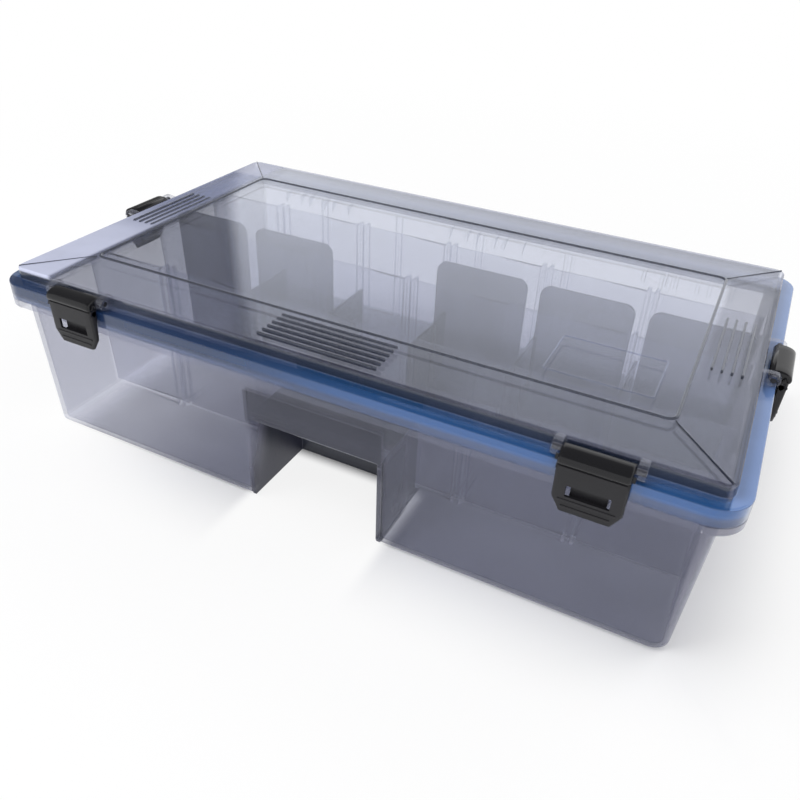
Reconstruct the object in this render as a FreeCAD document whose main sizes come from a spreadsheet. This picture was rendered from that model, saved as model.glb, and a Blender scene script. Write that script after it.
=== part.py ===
"""Waterproof fishing tackle box: a compartment tub, a clear lid with gasket, hinges and four latches.

The frame is in millimetres. Z points up, the resting face is z = 0, the front faces -Y, and the
origin is the middle of the footprint.
"""

import FreeCAD
import Part
import Sketcher

import math
import os

VECTOR = FreeCAD.Vector

# Named sizes

SIZES = {
    # lid
    "lid_half_x": 170.0,
    "lid_half_y": 101.1,
    "lid_corner": 5.0,
    "lid_top_z": 90.0,
    "lid_plate": 2.0,
    "lid_wall": 2.0,
    "panel_half_x": 143.75,
    "panel_half_y": 72.0,
    "panel_corner": 4.0,
    "panel_rise": 0.65,
    "bead_width": 1.4,
    "bead_rise": 0.55,
    "flange_margin": 6.5,
    "flange_corner": 14.0,
    "flange_top_z": 84.0,
    "flange_plate": 1.7,
    "skirt_wall": 1.5,
    # tub
    "tub_top_half_x": 169.5,
    "tub_top_half_y": 101.5,
    "tub_foot_half_x": 166.0,
    "tub_foot_half_y": 101.0,
    "tub_corner": 8.0,
    "foot_chamfer": 1.8,
    "floor": 2.0,
    "wall": 2.0,
    "rim_top_z": 75.2,
    "rim_plate": 3.2,
    "joint_gap": 0.3,
    "tongue_margin": 1.7,
    "tongue_width": 1.6,
    "tongue_top_z": 79.0,
    # compartment walls
    "wall_back_y": 47.7,
    "wall_mid_y": -3.6,
    "wall_front_y": -57.5,
    "inner_wall": 2.0,
    "inner_wall_top_z": 85.0,
    "inner_wall_end": 165.8,
    "inner_wall_bury": 1.0,
    # divider tracks
    "track_pitch": 56.15,
    "track_steps": 2.0,
    "track_slot": 2.2,
    "track_rib": 2.0,
    "track_reach": 2.5,
    "track_rise": 1.2,
    "back_track_top_z": 74.0,
    # carrying recess
    "grip_half_x": 33.5,
    "grip_top_z": 45.0,
    "grip_step_z": 62.5,
    "grip_fillet": 2.0,
    # gasket
    "gasket_side_gap": 0.15,
    "gasket_gap": 0.1,
    # hinges
    "hinges": 3.0,
    "hinge_margin": 10.9,
    "hinge_z": 75.4,
    "hinge_pitch": 123.6,
    "hinge_pin_dia": 2.4,
    "hinge_pin_gap": 0.05,
    "hinge_pin_length": 52.4,
    "hinge_eye": 3.4,
    "gusset": 1.7,
    "gusset_near": 6.0,
    "gusset_mid": 12.5,
    "gusset_far": 24.4,
    "gusset_foot_z": 64.5,
    "knuckle_gap": 0.5,
    "knuckle_top_z": 83.0,
    # latches
    "latch_centre": 123.75,
    "latch_half_width": 13.2,
    "latch_axis_margin": 4.4,
    "latch_axis_z": 87.6,
    "latch_barrel": 2.6,
    "latch_reach": 11.0,
    "latch_plate": 2.0,
    "latch_foot_z": 64.2,
    "latch_foot_lean": 1.0,
    "latch_shoulder_z": 85.6,
    "latch_shoulder_inner_z": 82.6,
    "latch_brow_margin": 7.8,
    "latch_brow_z": 89.8,
    "latch_cheek_margin": 10.1,
    "latch_cheek_z": 88.2,
    "latch_web": 1.5,
    "latch_web_clear": 0.5,
    "latch_web_knee_z": 79.0,
    "latch_web_foot_z": 65.4,
    "latch_corner_x": 3.2,
    "latch_corner_z": 5.4,
    "latch_window_half_x": 8.3,
    "latch_window_top_z": 76.6,
    "latch_window_foot_z": 71.3,
    "latch_hook_half_x": 6.1,
    "latch_hook_margin": 4.9,
    "latch_hook_gap": 0.35,
    "latch_hook": 1.4,
    "latch_hook_root": 3.6,
    "latch_pin_dia": 2.4,
    "latch_pin_gap": 0.05,
    "latch_grip_width": 1.0,
    "latch_grip_one_half_x": 10.8,
    "latch_grip_one_z": 69.6,
    "latch_grip_two_half_x": 9.2,
    "latch_grip_two_z": 66.8,
    "ear": 3.7,
    "ear_gap": 0.25,
    "ear_eye": 3.0,
    "pin_end_gap": 0.2,
    # lid grip ribs and label frame
    "rib_width": 1.3,
    "rib_top_z": 91.1,
    "front_rib_half_x": 29.2,
    "front_rib_first_y": -76.6,
    "front_rib_pitch": 3.8,
    "front_ribs": 6.0,
    "side_rib_half_y": 25.9,
    "side_rib_first_x": 150.1,
    "side_rib_pitch": 4.1,
    "side_ribs": 4.0,
    "label_x": 110.6,
    "label_y": -45.0,
    "label_half_x": 23.0,
    "label_half_y": 16.0,
    "label_line": 0.8,
    "label_rise": 0.3,
    # loose dividers
    "divider": 1.8,
    "divider_gap": 0.3,
    "divider_top_z": 84.6,
    "divider_corner": 6.0,
    "cross_top_z": 45.0,
    "lap_z": 22.0,
    "lap_gap": 0.3,
    "slot_half_x": 3.6,
    "left_divider_y": 14.0,
    "right_divider_y": 28.0,
    "keeper_reach": 2.2,
    "keeper_rib": 1.4,
    # shares
    "half_share": 0.5,
}


class Length:
    """A length with both its sheet expression and its number, so geometry and expression agree."""

    def __init__(self, text, value):
        self.text = text
        self.value = value

    @staticmethod
    def of(other):
        """Return OTHER as a Length; a plain number is used for counts, signs and zero only."""
        return other if isinstance(other, Length) else Length(repr(float(other)), float(other))

    def __add__(self, other):
        other = Length.of(other)
        return Length(f"({self.text} + {other.text})", self.value + other.value)

    def __sub__(self, other):
        other = Length.of(other)
        return Length(f"({self.text} - {other.text})", self.value - other.value)

    def __mul__(self, other):
        other = Length.of(other)
        return Length(f"({self.text} * {other.text})", self.value * other.value)

    def __truediv__(self, other):
        other = Length.of(other)
        return Length(f"({self.text} / {other.text})", self.value / other.value)

    def __neg__(self):
        return Length(f"(0 - {self.text})", -self.value)


class Sheet:
    """The spreadsheet of named sizes, read as attributes that give Lengths."""

    def __init__(self, doc):
        self._cells = doc.addObject("Spreadsheet::Sheet", "Sizes")
        for row, (name, value) in enumerate(SIZES.items(), start=1):
            self._cells.set(f"A{row}", name)
            self._cells.set(f"B{row}", repr(value))
            self._cells.setAlias(f"B{row}", name)
        doc.recompute()

    def __getattr__(self, name):
        return Length(f"Sizes.{name}", float(self._cells.get(name)))


DOC = FreeCAD.newDocument("tackle_box")
S = Sheet(DOC)
ZERO = Length("0", 0.0)


def bind(item, path, length):
    """Set ITEM's property PATH to LENGTH through an expression."""
    item.setExpression(path, length.text)


class Piece:
    """One moulded or turned piece: a PartDesign body that becomes one node."""

    PLANES = {"XY": "XY_Plane", "XZ": "XZ_Plane", "YZ": "YZ_Plane"}

    def __init__(self, name):
        self.name = name
        self.body = DOC.addObject("PartDesign::Body", name)
        self.body.Label = name
        self.count = 0

    def plane(self, plane):
        """Return the body's own origin plane."""
        role = self.PLANES[plane]
        return next(item for item in self.body.Origin.OriginFeatures if item.Role == role)

    def axis(self, role):
        """Return the body's own origin axis, such as X_Axis."""
        return next(item for item in self.body.Origin.OriginFeatures if item.Role == role)

    def sketch(self, plane, offset=ZERO):
        """Add a sketch on an origin plane, moved along the plane's normal by OFFSET."""
        self.count += 1
        sketch = self.body.newObject("Sketcher::SketchObject", f"{self.name}_sketch_{self.count}")
        sketch.AttachmentSupport = [(self.plane(plane), "")]
        sketch.MapMode = "FlatFace"
        bind(sketch, "AttachmentOffset.Base.z", offset)
        return sketch

    def extrude(self, kind, sketch, length, both=False, back=False):
        """Pad or pocket a sketch by LENGTH, along its normal or on both sides."""
        self.count += 1
        feature = self.body.newObject(f"PartDesign::{kind}", f"{self.name}_{kind.lower()}_{self.count}")
        feature.Profile = sketch
        bind(feature, "Length", length)
        feature.SideType = "Symmetric" if both else "One side"
        feature.Reversed = back
        return feature

    def pad(self, sketch, length, both=False, back=False):
        """Add material."""
        return self.extrude("Pad", sketch, length, both=both, back=back)

    def cut(self, sketch, length, both=False, back=False):
        """Remove material."""
        return self.extrude("Pocket", sketch, length, both=both, back=back)

    def loft(self, kind, low, high):
        """Add or remove the straight-sided body between two sketches."""
        self.count += 1
        feature = self.body.newObject(f"PartDesign::{kind}Loft", f"{self.name}_loft_{self.count}")
        feature.Profile = low
        feature.Sections = [high]
        feature.Ruled = True
        return feature

    def row(self, features, axis, length, number):
        """Repeat FEATURES along an origin axis: NUMBER of them over LENGTH."""
        self.count += 1
        pattern = self.body.newObject("PartDesign::LinearPattern", f"{self.name}_row_{self.count}")
        pattern.Originals = features
        pattern.Direction = (self.axis(axis), [""])
        pattern.Mode = "Extent"
        bind(pattern, "Length", length)
        pattern.Occurrences = number
        self.body.Tip = pattern
        return pattern


def fix(sketch, geometry, point, axis, length):
    """Hold one point of a sketch at LENGTH from the origin along X or Y."""
    if length.value == 0.0:
        sketch.addConstraint(Sketcher.Constraint("PointOnObject", geometry, point, -2 if axis == "X" else -1))
        return
    number = sketch.addConstraint(
        Sketcher.Constraint(f"Distance{axis}", -1, 1, geometry, point, length.value)
    )
    bind(sketch, f"Constraints[{number}]", length)


def polygon(sketch, points):
    """Draw a closed polygon whose corners are pairs of Lengths."""
    corners = [VECTOR(x.value, y.value, 0) for x, y in points]
    first = sketch.GeometryCount
    number = len(corners)
    for k in range(number):
        sketch.addGeometry(Part.LineSegment(corners[k], corners[(k + 1) % number]), False)
    for k in range(number):
        sketch.addConstraint(
            Sketcher.Constraint("Coincident", first + k, 2, first + (k + 1) % number, 1)
        )
    for k, (x, y) in enumerate(points):
        fix(sketch, first + k, 1, "X", x)
        fix(sketch, first + k, 1, "Y", y)


def rectangle(sketch, x_from, x_to, y_from, y_to):
    """Draw a rectangle between two Lengths each way."""
    polygon(sketch, [(x_from, y_from), (x_to, y_from), (x_to, y_to), (x_from, y_to)])


def circle(sketch, x, y, radius):
    """Draw a circle at (x, y)."""
    number = sketch.addGeometry(
        Part.Circle(VECTOR(x.value, y.value, 0), VECTOR(0, 0, 1), radius.value), False
    )
    fix(sketch, number, 3, "X", x)
    fix(sketch, number, 3, "Y", y)
    held = sketch.addConstraint(Sketcher.Constraint("Radius", number, radius.value))
    bind(sketch, f"Constraints[{held}]", radius)


def rounded(sketch, half_x, half_y, radius):
    """Draw a rectangle with rounded corners around the origin."""
    hx = half_x.value
    hy = half_y.value
    r = radius.value
    quarter = math.radians(90)
    first = sketch.GeometryCount
    spots = [(hx, -hy + r, hx, hy - r), (hx - r, hy, -hx + r, hy)]
    spots += [(-hx, hy - r, -hx, -hy + r), (-hx + r, -hy, hx - r, -hy)]
    centres = [(hx - r, hy - r), (-hx + r, hy - r), (-hx + r, -hy + r), (hx - r, -hy + r)]
    for k in range(4):
        x0, y0, x1, y1 = spots[k]
        sketch.addGeometry(Part.LineSegment(VECTOR(x0, y0, 0), VECTOR(x1, y1, 0)), False)
        full = Part.Circle(VECTOR(*centres[k], 0), VECTOR(0, 0, 1), r)
        sketch.addGeometry(Part.ArcOfCircle(full, k * quarter, (k + 1) * quarter), False)
    for k in range(4):
        line = first + 2 * k
        arc = line + 1
        following = first + (2 * k + 2) % 8
        sketch.addConstraint(Sketcher.Constraint("Tangent", line, 2, arc, 1))
        sketch.addConstraint(Sketcher.Constraint("Tangent", arc, 2, following, 1))
        sketch.addConstraint(Sketcher.Constraint("Horizontal" if k % 2 else "Vertical", line))
    for k in range(1, 4):
        sketch.addConstraint(Sketcher.Constraint("Equal", first + 1, first + 2 * k + 1))
    held = sketch.addConstraint(Sketcher.Constraint("Radius", first + 1, r))
    bind(sketch, f"Constraints[{held}]", radius)
    fix(sketch, first, 1, "X", half_x)
    fix(sketch, first + 2, 1, "Y", half_y)
    fix(sketch, first + 4, 1, "X", -half_x)
    fix(sketch, first + 6, 1, "Y", -half_y)


def margin_ring(sketch, inner, outer):
    """Draw a ring between two margins outside the lid's top edge."""
    for margin in (inner, outer):
        share = S.flange_corner - S.flange_margin
        rounded(sketch, S.lid_half_x + margin, S.lid_half_y + margin, share + margin)


def fillet(piece, radius, test):
    """Round the edges that TEST accepts on the piece's last feature."""
    DOC.recompute()
    base = piece.body.Tip
    names = [f"Edge{k}" for k, edge in enumerate(base.Shape.Edges, start=1) if test(edge)]
    if not names:
        raise RuntimeError(f"{piece.name}: nothing found to round")
    piece.count += 1
    feature = piece.body.newObject("PartDesign::Fillet", f"{piece.name}_fillet_{piece.count}")
    feature.Base = (base, names)
    bind(feature, "Radius", radius)
    return feature


def near(value, length, slack=0.01):
    """Tell whether VALUE is LENGTH."""
    return abs(value - length.value) < slack


def place(piece, x=None, y=None, z=None, turn=0.0):
    """Put a piece at Lengths, turned about Z by TURN degrees."""
    piece.body.Placement = FreeCAD.Placement(VECTOR(0, 0, 0), FreeCAD.Rotation(VECTOR(0, 0, 1), turn))
    for axis, length in (("x", x), ("y", y), ("z", z)):
        if length is not None:
            bind(piece.body, f"Placement.Base.{axis}", length)


HALF = S.half_share
RIM_FOOT_Z = S.rim_top_z - S.rim_plate
SKIRT_FOOT_Z = S.rim_top_z + S.joint_gap
FLANGE_HALF_X = S.lid_half_x + S.flange_margin
FLANGE_HALF_Y = S.lid_half_y + S.flange_margin
CHANNEL_MARGIN = S.flange_margin - S.skirt_wall
CHANNEL_TOP_Z = S.flange_top_z - S.flange_plate
HINGE_Y = S.lid_half_y + S.hinge_margin
HINGE_BORE = S.hinge_pin_dia * HALF + S.hinge_pin_gap
LATCH_BORE = S.latch_pin_dia * HALF + S.latch_pin_gap
EAR_OFFSET = S.latch_half_width + S.ear_gap + S.ear * HALF
FIRST_TRACK_X = -(S.track_pitch * S.track_steps)
INNER_HALF_WALL = S.inner_wall * HALF
WALL_CENTRES = (S.wall_back_y, S.wall_mid_y, S.wall_front_y)
TRACK_COUNT = int(SIZES["track_steps"]) * 2 + 1
HINGE_COUNT = int(SIZES["hinges"])


def hinge_gussets(piece):
    """Add the tub's hinge gussets: six plates with eyes for each of the three hinges."""
    made = []
    first = -S.hinge_pitch
    foot_y = S.tub_top_half_y - S.wall * HALF
    for step in (S.gusset_near, S.gusset_mid, S.gusset_far):
        for offset in (step, -step):
            web = piece.sketch("YZ", first + offset)
            polygon(
                web,
                [
                    (foot_y, S.gusset_foot_z),
                    (HINGE_Y, S.hinge_z - S.hinge_eye),
                    (HINGE_Y, S.rim_top_z),
                    (foot_y, S.rim_top_z),
                ],
            )
            made.append(piece.pad(web, S.gusset, both=True))
            eye = piece.sketch("YZ", first + offset)
            circle(eye, HINGE_Y, S.hinge_z, S.hinge_eye)
            made.append(piece.pad(eye, S.gusset, both=True))
    DOC.recompute()
    piece.row(made, "X_Axis", S.hinge_pitch + S.hinge_pitch, HINGE_COUNT)
    bore = piece.sketch("YZ")
    circle(bore, HINGE_Y, S.hinge_z, HINGE_BORE)
    piece.cut(bore, FLANGE_HALF_X + FLANGE_HALF_X, both=True)


def make_tub():
    """Build the compartment tub with rim, long walls, divider tracks, recess and hinge gussets."""
    piece = Piece("tub")
    sole = piece.sketch("XY")
    inset = S.foot_chamfer
    rounded(sole, S.tub_foot_half_x - inset, S.tub_foot_half_y - inset, S.tub_corner - inset)
    foot = piece.sketch("XY", S.foot_chamfer)
    rounded(foot, S.tub_foot_half_x, S.tub_foot_half_y, S.tub_corner)
    piece.loft("Additive", sole, foot)
    head = piece.sketch("XY", S.rim_top_z)
    rounded(head, S.tub_top_half_x, S.tub_top_half_y, S.tub_corner)
    piece.loft("Additive", foot, head)
    rim = piece.sketch("XY", RIM_FOOT_Z)
    rounded(rim, FLANGE_HALF_X, FLANGE_HALF_Y, S.flange_corner)
    piece.pad(rim, S.rim_plate)
    tongue = piece.sketch("XY", S.rim_top_z)
    margin_ring(tongue, S.tongue_margin, S.tongue_margin + S.tongue_width)
    piece.pad(tongue, S.tongue_top_z - S.rim_top_z)
    low = piece.sketch("XY", S.floor)
    rounded(low, S.tub_foot_half_x - S.wall, S.tub_foot_half_y - S.wall, S.tub_corner - S.wall)
    high = piece.sketch("XY", S.rim_top_z)
    rounded(high, S.tub_top_half_x - S.wall, S.tub_top_half_y - S.wall, S.tub_corner - S.wall)
    piece.loft("Subtractive", low, high)

    recess_block = piece.sketch("XY")
    side = S.grip_half_x + S.wall
    front = -(S.tub_foot_half_y - S.wall * HALF)
    rectangle(recess_block, -side, side, front, S.wall_front_y)
    piece.pad(recess_block, S.grip_top_z + S.wall)

    low_end = S.tub_foot_half_x - S.wall * HALF
    high_end = S.tub_top_half_x - S.wall * HALF
    bottom = S.floor - S.inner_wall_bury
    for centre in WALL_CENTRES:
        wall = piece.sketch("XZ", -centre)
        polygon(
            wall,
            [
                (-low_end, bottom),
                (low_end, bottom),
                (high_end, S.rim_top_z),
                (S.inner_wall_end, S.rim_top_z),
                (S.inner_wall_end, S.inner_wall_top_z),
                (-S.inner_wall_end, S.inner_wall_top_z),
                (-S.inner_wall_end, S.rim_top_z),
                (-high_end, S.rim_top_z),
            ],
        )
        piece.pad(wall, S.inner_wall, both=True)

    tracks = piece.sketch("XY", bottom)
    back_tracks = piece.sketch("XY", bottom)
    near_edge = S.track_slot * HALF
    far_edge = near_edge + S.track_rib
    reach = INNER_HALF_WALL + S.track_reach
    back_face = S.tub_foot_half_y - S.wall
    for x_from, x_to in ((-far_edge, -near_edge), (near_edge, far_edge)):
        for centre in WALL_CENTRES:
            rectangle(tracks, FIRST_TRACK_X + x_from, FIRST_TRACK_X + x_to, centre - reach, centre + reach)
        rectangle(
            back_tracks,
            FIRST_TRACK_X + x_from,
            FIRST_TRACK_X + x_to,
            back_face - S.track_reach,
            S.tub_foot_half_y - S.wall * HALF,
        )
    made = [
        piece.pad(tracks, S.inner_wall_top_z + S.track_rise - bottom),
        piece.pad(back_tracks, S.back_track_top_z - bottom),
    ]
    DOC.recompute()
    piece.row(made, "X_Axis", -(FIRST_TRACK_X + FIRST_TRACK_X), TRACK_COUNT)

    recess = piece.sketch("XY")
    back = S.wall_front_y - INNER_HALF_WALL
    rectangle(recess, -S.grip_half_x, S.grip_half_x, -FLANGE_HALF_Y, back)
    piece.cut(recess, S.grip_top_z, back=True)
    step = piece.sketch("XY", S.grip_top_z)
    rectangle(step, -S.grip_half_x, S.grip_half_x, -FLANGE_HALF_Y, -S.tub_foot_half_y)
    piece.cut(step, S.grip_step_z - S.grip_top_z, back=True)
    hinge_gussets(piece)
    fillet(
        piece,
        S.grip_fillet,
        lambda edge: near(edge.CenterOfMass.y, -S.tub_foot_half_y)
        and near(edge.CenterOfMass.z, S.grip_top_z)
        and near(edge.CenterOfMass.x, ZERO),
    )
    return piece


def lid_ears(piece):
    """Add the latch ears of the lid and bore them for the latch pins."""
    top = S.latch_axis_z + S.ear_eye
    foot = S.flange_top_z - S.flange_plate * HALF
    ahead = S.lid_half_y + S.latch_axis_margin
    root = S.lid_half_y - S.lid_wall * HALF
    for centre in (-S.latch_centre, S.latch_centre):
        for offset in (-EAR_OFFSET, EAR_OFFSET):
            block = piece.sketch("YZ", centre + offset)
            rectangle(block, -ahead, -root, foot, top)
            piece.pad(block, S.ear, both=True)
            eye = piece.sketch("YZ", centre + offset)
            circle(eye, -ahead, S.latch_axis_z, S.ear_eye)
            piece.pad(eye, S.ear, both=True)
    aside = S.lid_half_x + S.latch_axis_margin
    root = S.lid_half_x - S.lid_wall * HALF
    for x_root, x_axis in ((root, aside), (-root, -aside)):
        for offset in (-EAR_OFFSET, EAR_OFFSET):
            block = piece.sketch("XZ", offset)
            rectangle(block, x_root, x_axis, foot, top)
            piece.pad(block, S.ear, both=True)
            eye = piece.sketch("XZ", offset)
            circle(eye, x_axis, S.latch_axis_z, S.ear_eye)
            piece.pad(eye, S.ear, both=True)
    front = piece.sketch("YZ")
    circle(front, -ahead, S.latch_axis_z, LATCH_BORE)
    piece.cut(front, FLANGE_HALF_X + FLANGE_HALF_X, both=True)
    sides = piece.sketch("XZ")
    circle(sides, aside, S.latch_axis_z, LATCH_BORE)
    circle(sides, -aside, S.latch_axis_z, LATCH_BORE)
    piece.cut(sides, FLANGE_HALF_Y, both=True)


def lid_knuckles(piece):
    """Add the lid's two knuckles for each of the three hinges."""
    made = []
    near_face = S.gusset_mid + S.gusset * HALF + S.knuckle_gap
    far_face = S.gusset_far - S.gusset * HALF - S.knuckle_gap
    centre = (near_face + far_face) * HALF
    width = far_face - near_face
    root = FLANGE_HALF_Y - S.skirt_wall * HALF
    for offset in (centre, -centre):
        arm = piece.sketch("YZ", -S.hinge_pitch + offset)
        polygon(
            arm,
            [
                (root, SKIRT_FOOT_Z),
                (HINGE_Y, S.hinge_z),
                (HINGE_Y, S.hinge_z + S.hinge_eye),
                (root, S.knuckle_top_z),
            ],
        )
        made.append(piece.pad(arm, width, both=True))
        eye = piece.sketch("YZ", -S.hinge_pitch + offset)
        circle(eye, HINGE_Y, S.hinge_z, S.hinge_eye)
        made.append(piece.pad(eye, width, both=True))
    DOC.recompute()
    piece.row(made, "X_Axis", S.hinge_pitch + S.hinge_pitch, HINGE_COUNT)
    bore = piece.sketch("YZ")
    circle(bore, HINGE_Y, S.hinge_z, HINGE_BORE)
    piece.cut(bore, FLANGE_HALF_X + FLANGE_HALF_X, both=True)


def lid_ribs(piece):
    """Add the moulded grip ribs and the label frame on the lid's top."""
    base = S.lid_top_z - S.lid_plate * HALF
    height = S.rib_top_z - base
    half = S.rib_width * HALF
    front = piece.sketch("XY", base)
    first = S.front_rib_first_y
    rectangle(front, -S.front_rib_half_x, S.front_rib_half_x, first - half, first + half)
    made = piece.pad(front, height)
    DOC.recompute()
    number = int(SIZES["front_ribs"])
    pattern = piece.row([made], "Y_Axis", S.front_rib_pitch * (S.front_ribs - 1), number)
    pattern.Reversed = True
    right = piece.sketch("XY", base)
    first = S.side_rib_first_x
    rectangle(right, first - half, first + half, -S.side_rib_half_y, S.side_rib_half_y)
    made = piece.pad(right, height)
    left = piece.sketch("XY", base)
    rectangle(left, -first - half, -first + half, -S.side_rib_half_y, S.side_rib_half_y)
    other = piece.pad(left, height)
    DOC.recompute()
    number = int(SIZES["side_ribs"])
    piece.row([made], "X_Axis", S.side_rib_pitch * (S.side_ribs - 1), number)
    pattern = piece.row([other], "X_Axis", S.side_rib_pitch * (S.side_ribs - 1), number)
    pattern.Reversed = True
    frame = piece.sketch("XY", base)
    for grow in (ZERO, -S.label_line):
        half_x = S.label_half_x + grow
        half_y = S.label_half_y + grow
        rectangle(frame, S.label_x - half_x, S.label_x + half_x, S.label_y - half_y, S.label_y + half_y)
    piece.pad(frame, S.lid_top_z + S.panel_rise + S.label_rise - base)


def make_lid():
    """Build the clear lid with its skirt, gasket channel, ears, knuckles and moulded ribs."""
    piece = Piece("lid")
    flange = piece.sketch("XY", SKIRT_FOOT_Z)
    rounded(flange, FLANGE_HALF_X, FLANGE_HALF_Y, S.flange_corner)
    piece.pad(flange, S.flange_top_z - SKIRT_FOOT_Z)
    block = piece.sketch("XY", S.flange_top_z - S.flange_plate * HALF)
    rounded(block, S.lid_half_x, S.lid_half_y, S.lid_corner)
    piece.pad(block, S.lid_top_z - S.flange_top_z + S.flange_plate * HALF)
    low = piece.sketch("XY", S.lid_top_z)
    rounded(low, S.lid_half_x, S.lid_half_y, S.lid_corner)
    high = piece.sketch("XY", S.lid_top_z + S.panel_rise)
    rounded(high, S.panel_half_x, S.panel_half_y, S.panel_corner)
    piece.loft("Additive", low, high)
    bead = piece.sketch("XY", S.lid_top_z)
    half = S.bead_width * HALF
    rounded(bead, S.panel_half_x + half, S.panel_half_y + half, S.panel_corner + half)
    rounded(bead, S.panel_half_x - half, S.panel_half_y - half, S.panel_corner - half)
    piece.pad(bead, S.panel_rise + S.bead_rise)
    hollow = piece.sketch("XY", SKIRT_FOOT_Z)
    rounded(hollow, S.lid_half_x - S.lid_wall, S.lid_half_y - S.lid_wall, S.lid_corner - S.lid_wall)
    piece.cut(hollow, S.lid_top_z - S.lid_plate - SKIRT_FOOT_Z, back=True)
    channel = piece.sketch("XY", SKIRT_FOOT_Z)
    margin_ring(channel, ZERO, CHANNEL_MARGIN)
    piece.cut(channel, CHANNEL_TOP_Z - SKIRT_FOOT_Z, back=True)
    lid_ribs(piece)
    lid_ears(piece)
    lid_knuckles(piece)
    return piece


def make_gasket():
    """Build the gasket ring that sits in the lid's channel and rests on the tub's tongue."""
    piece = Piece("gasket")
    ring = piece.sketch("XY", S.tongue_top_z + S.gasket_gap)
    margin_ring(ring, S.gasket_side_gap, CHANNEL_MARGIN - S.gasket_side_gap)
    piece.pad(ring, CHANNEL_TOP_Z - S.tongue_top_z - S.gasket_gap)
    return piece


def make_hinge_pin(name, x):
    """Build one hinge pin."""
    piece = Piece(name)
    end = piece.sketch("YZ")
    circle(end, ZERO, ZERO, S.hinge_pin_dia * HALF)
    piece.pad(end, S.hinge_pin_length, both=True)
    place(piece, x, HINGE_Y, S.hinge_z)
    return piece


def make_latch(name, x, y, turn):
    """Build one latch, drawn as a front latch with Y = 0 at the lid's top edge."""
    piece = Piece(name)
    width = S.latch_half_width + S.latch_half_width
    axis_y = -S.latch_axis_margin
    inner = S.latch_reach - S.latch_plate
    under = S.latch_axis_z - S.latch_barrel
    shell = piece.sketch("YZ")
    polygon(
        shell,
        [
            (axis_y, S.latch_axis_z + S.latch_barrel),
            (-S.latch_brow_margin, S.latch_brow_z),
            (-S.latch_cheek_margin, S.latch_cheek_z),
            (-S.latch_reach, S.latch_shoulder_z),
            (-S.latch_reach + S.latch_foot_lean, S.latch_foot_z),
            (-inner + S.latch_foot_lean, S.latch_foot_z),
            (-inner, S.latch_shoulder_inner_z),
            (-S.flange_margin - S.latch_web_clear - S.latch_web_clear, under),
            (axis_y, under),
        ],
    )
    piece.pad(shell, width, both=True)
    barrel = piece.sketch("YZ")
    circle(barrel, axis_y, S.latch_axis_z, S.latch_barrel)
    piece.pad(barrel, width, both=True)
    window = piece.sketch("XZ")
    half = S.latch_window_half_x
    rectangle(window, -half, half, S.latch_window_foot_z, S.latch_window_top_z)
    piece.cut(window, S.latch_reach + S.latch_reach + S.latch_reach, both=True)
    web_y = -S.flange_margin - S.latch_web_clear
    centre = S.latch_half_width - S.latch_web * HALF
    for offset in (-centre, centre):
        web = piece.sketch("YZ", offset)
        middle = -inner + S.latch_foot_lean
        polygon(
            web,
            [
                (web_y, under),
                (middle - S.latch_foot_lean, under),
                (middle - S.latch_foot_lean, S.latch_shoulder_inner_z),
                (middle - S.latch_web_clear, S.latch_web_foot_z),
                (middle, S.latch_web_foot_z),
                (web_y, S.latch_web_knee_z),
            ],
        )
        piece.pad(web, S.latch_web, both=True)
    hook = piece.sketch("YZ")
    hook_top = RIM_FOOT_Z - S.latch_hook_gap
    polygon(
        hook,
        [
            (-S.latch_hook_margin, hook_top),
            (-inner, hook_top),
            (-inner, hook_top - S.latch_hook_root),
            (-S.latch_hook_margin, hook_top - S.latch_hook),
        ],
    )
    piece.pad(hook, S.latch_hook_half_x + S.latch_hook_half_x, both=True)
    for half, z in (
        (S.latch_grip_one_half_x, S.latch_grip_one_z),
        (S.latch_grip_two_half_x, S.latch_grip_two_z),
    ):
        bar = piece.sketch("XZ", inner)
        rectangle(bar, -half, half, z - S.latch_grip_width * HALF, z + S.latch_grip_width * HALF)
        piece.pad(bar, S.latch_plate - S.latch_foot_lean * HALF)
    corner = piece.sketch("XZ")
    edge = S.latch_half_width
    for side in (edge, -edge):
        sign = 1 if side.value > 0 else -1
        out = side + S.latch_web * sign
        cut_in = side - S.latch_corner_x * sign
        low = S.latch_foot_z - S.latch_web
        polygon(
            corner,
            [
                (side, S.latch_foot_z + S.latch_corner_z),
                (out, S.latch_foot_z + S.latch_corner_z),
                (out, low),
                (cut_in, low),
                (cut_in, S.latch_foot_z),
            ],
        )
    piece.cut(corner, S.latch_reach + S.latch_reach + S.latch_reach, both=True)
    bore = piece.sketch("YZ")
    circle(bore, axis_y, S.latch_axis_z, LATCH_BORE)
    piece.cut(bore, width + S.latch_web, both=True)
    place(piece, x, y, None, turn)
    return piece


def make_latch_pin(name, x, y, turn):
    """Build one latch pin, as long as the two ears and the latch less a gap at each end."""
    piece = Piece(name)
    half = S.latch_half_width + S.ear_gap + S.ear - S.pin_end_gap
    end = piece.sketch("YZ")
    circle(end, -S.latch_axis_margin, S.latch_axis_z, S.latch_pin_dia * HALF)
    piece.pad(end, half + half, both=True)
    place(piece, x, y, None, turn)
    return piece


def top_corners(edge):
    """Tell whether an edge crosses a long divider's thickness at its top."""
    return near(edge.CenterOfMass.z, S.divider_top_z) and near(edge.Length, S.divider)


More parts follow.
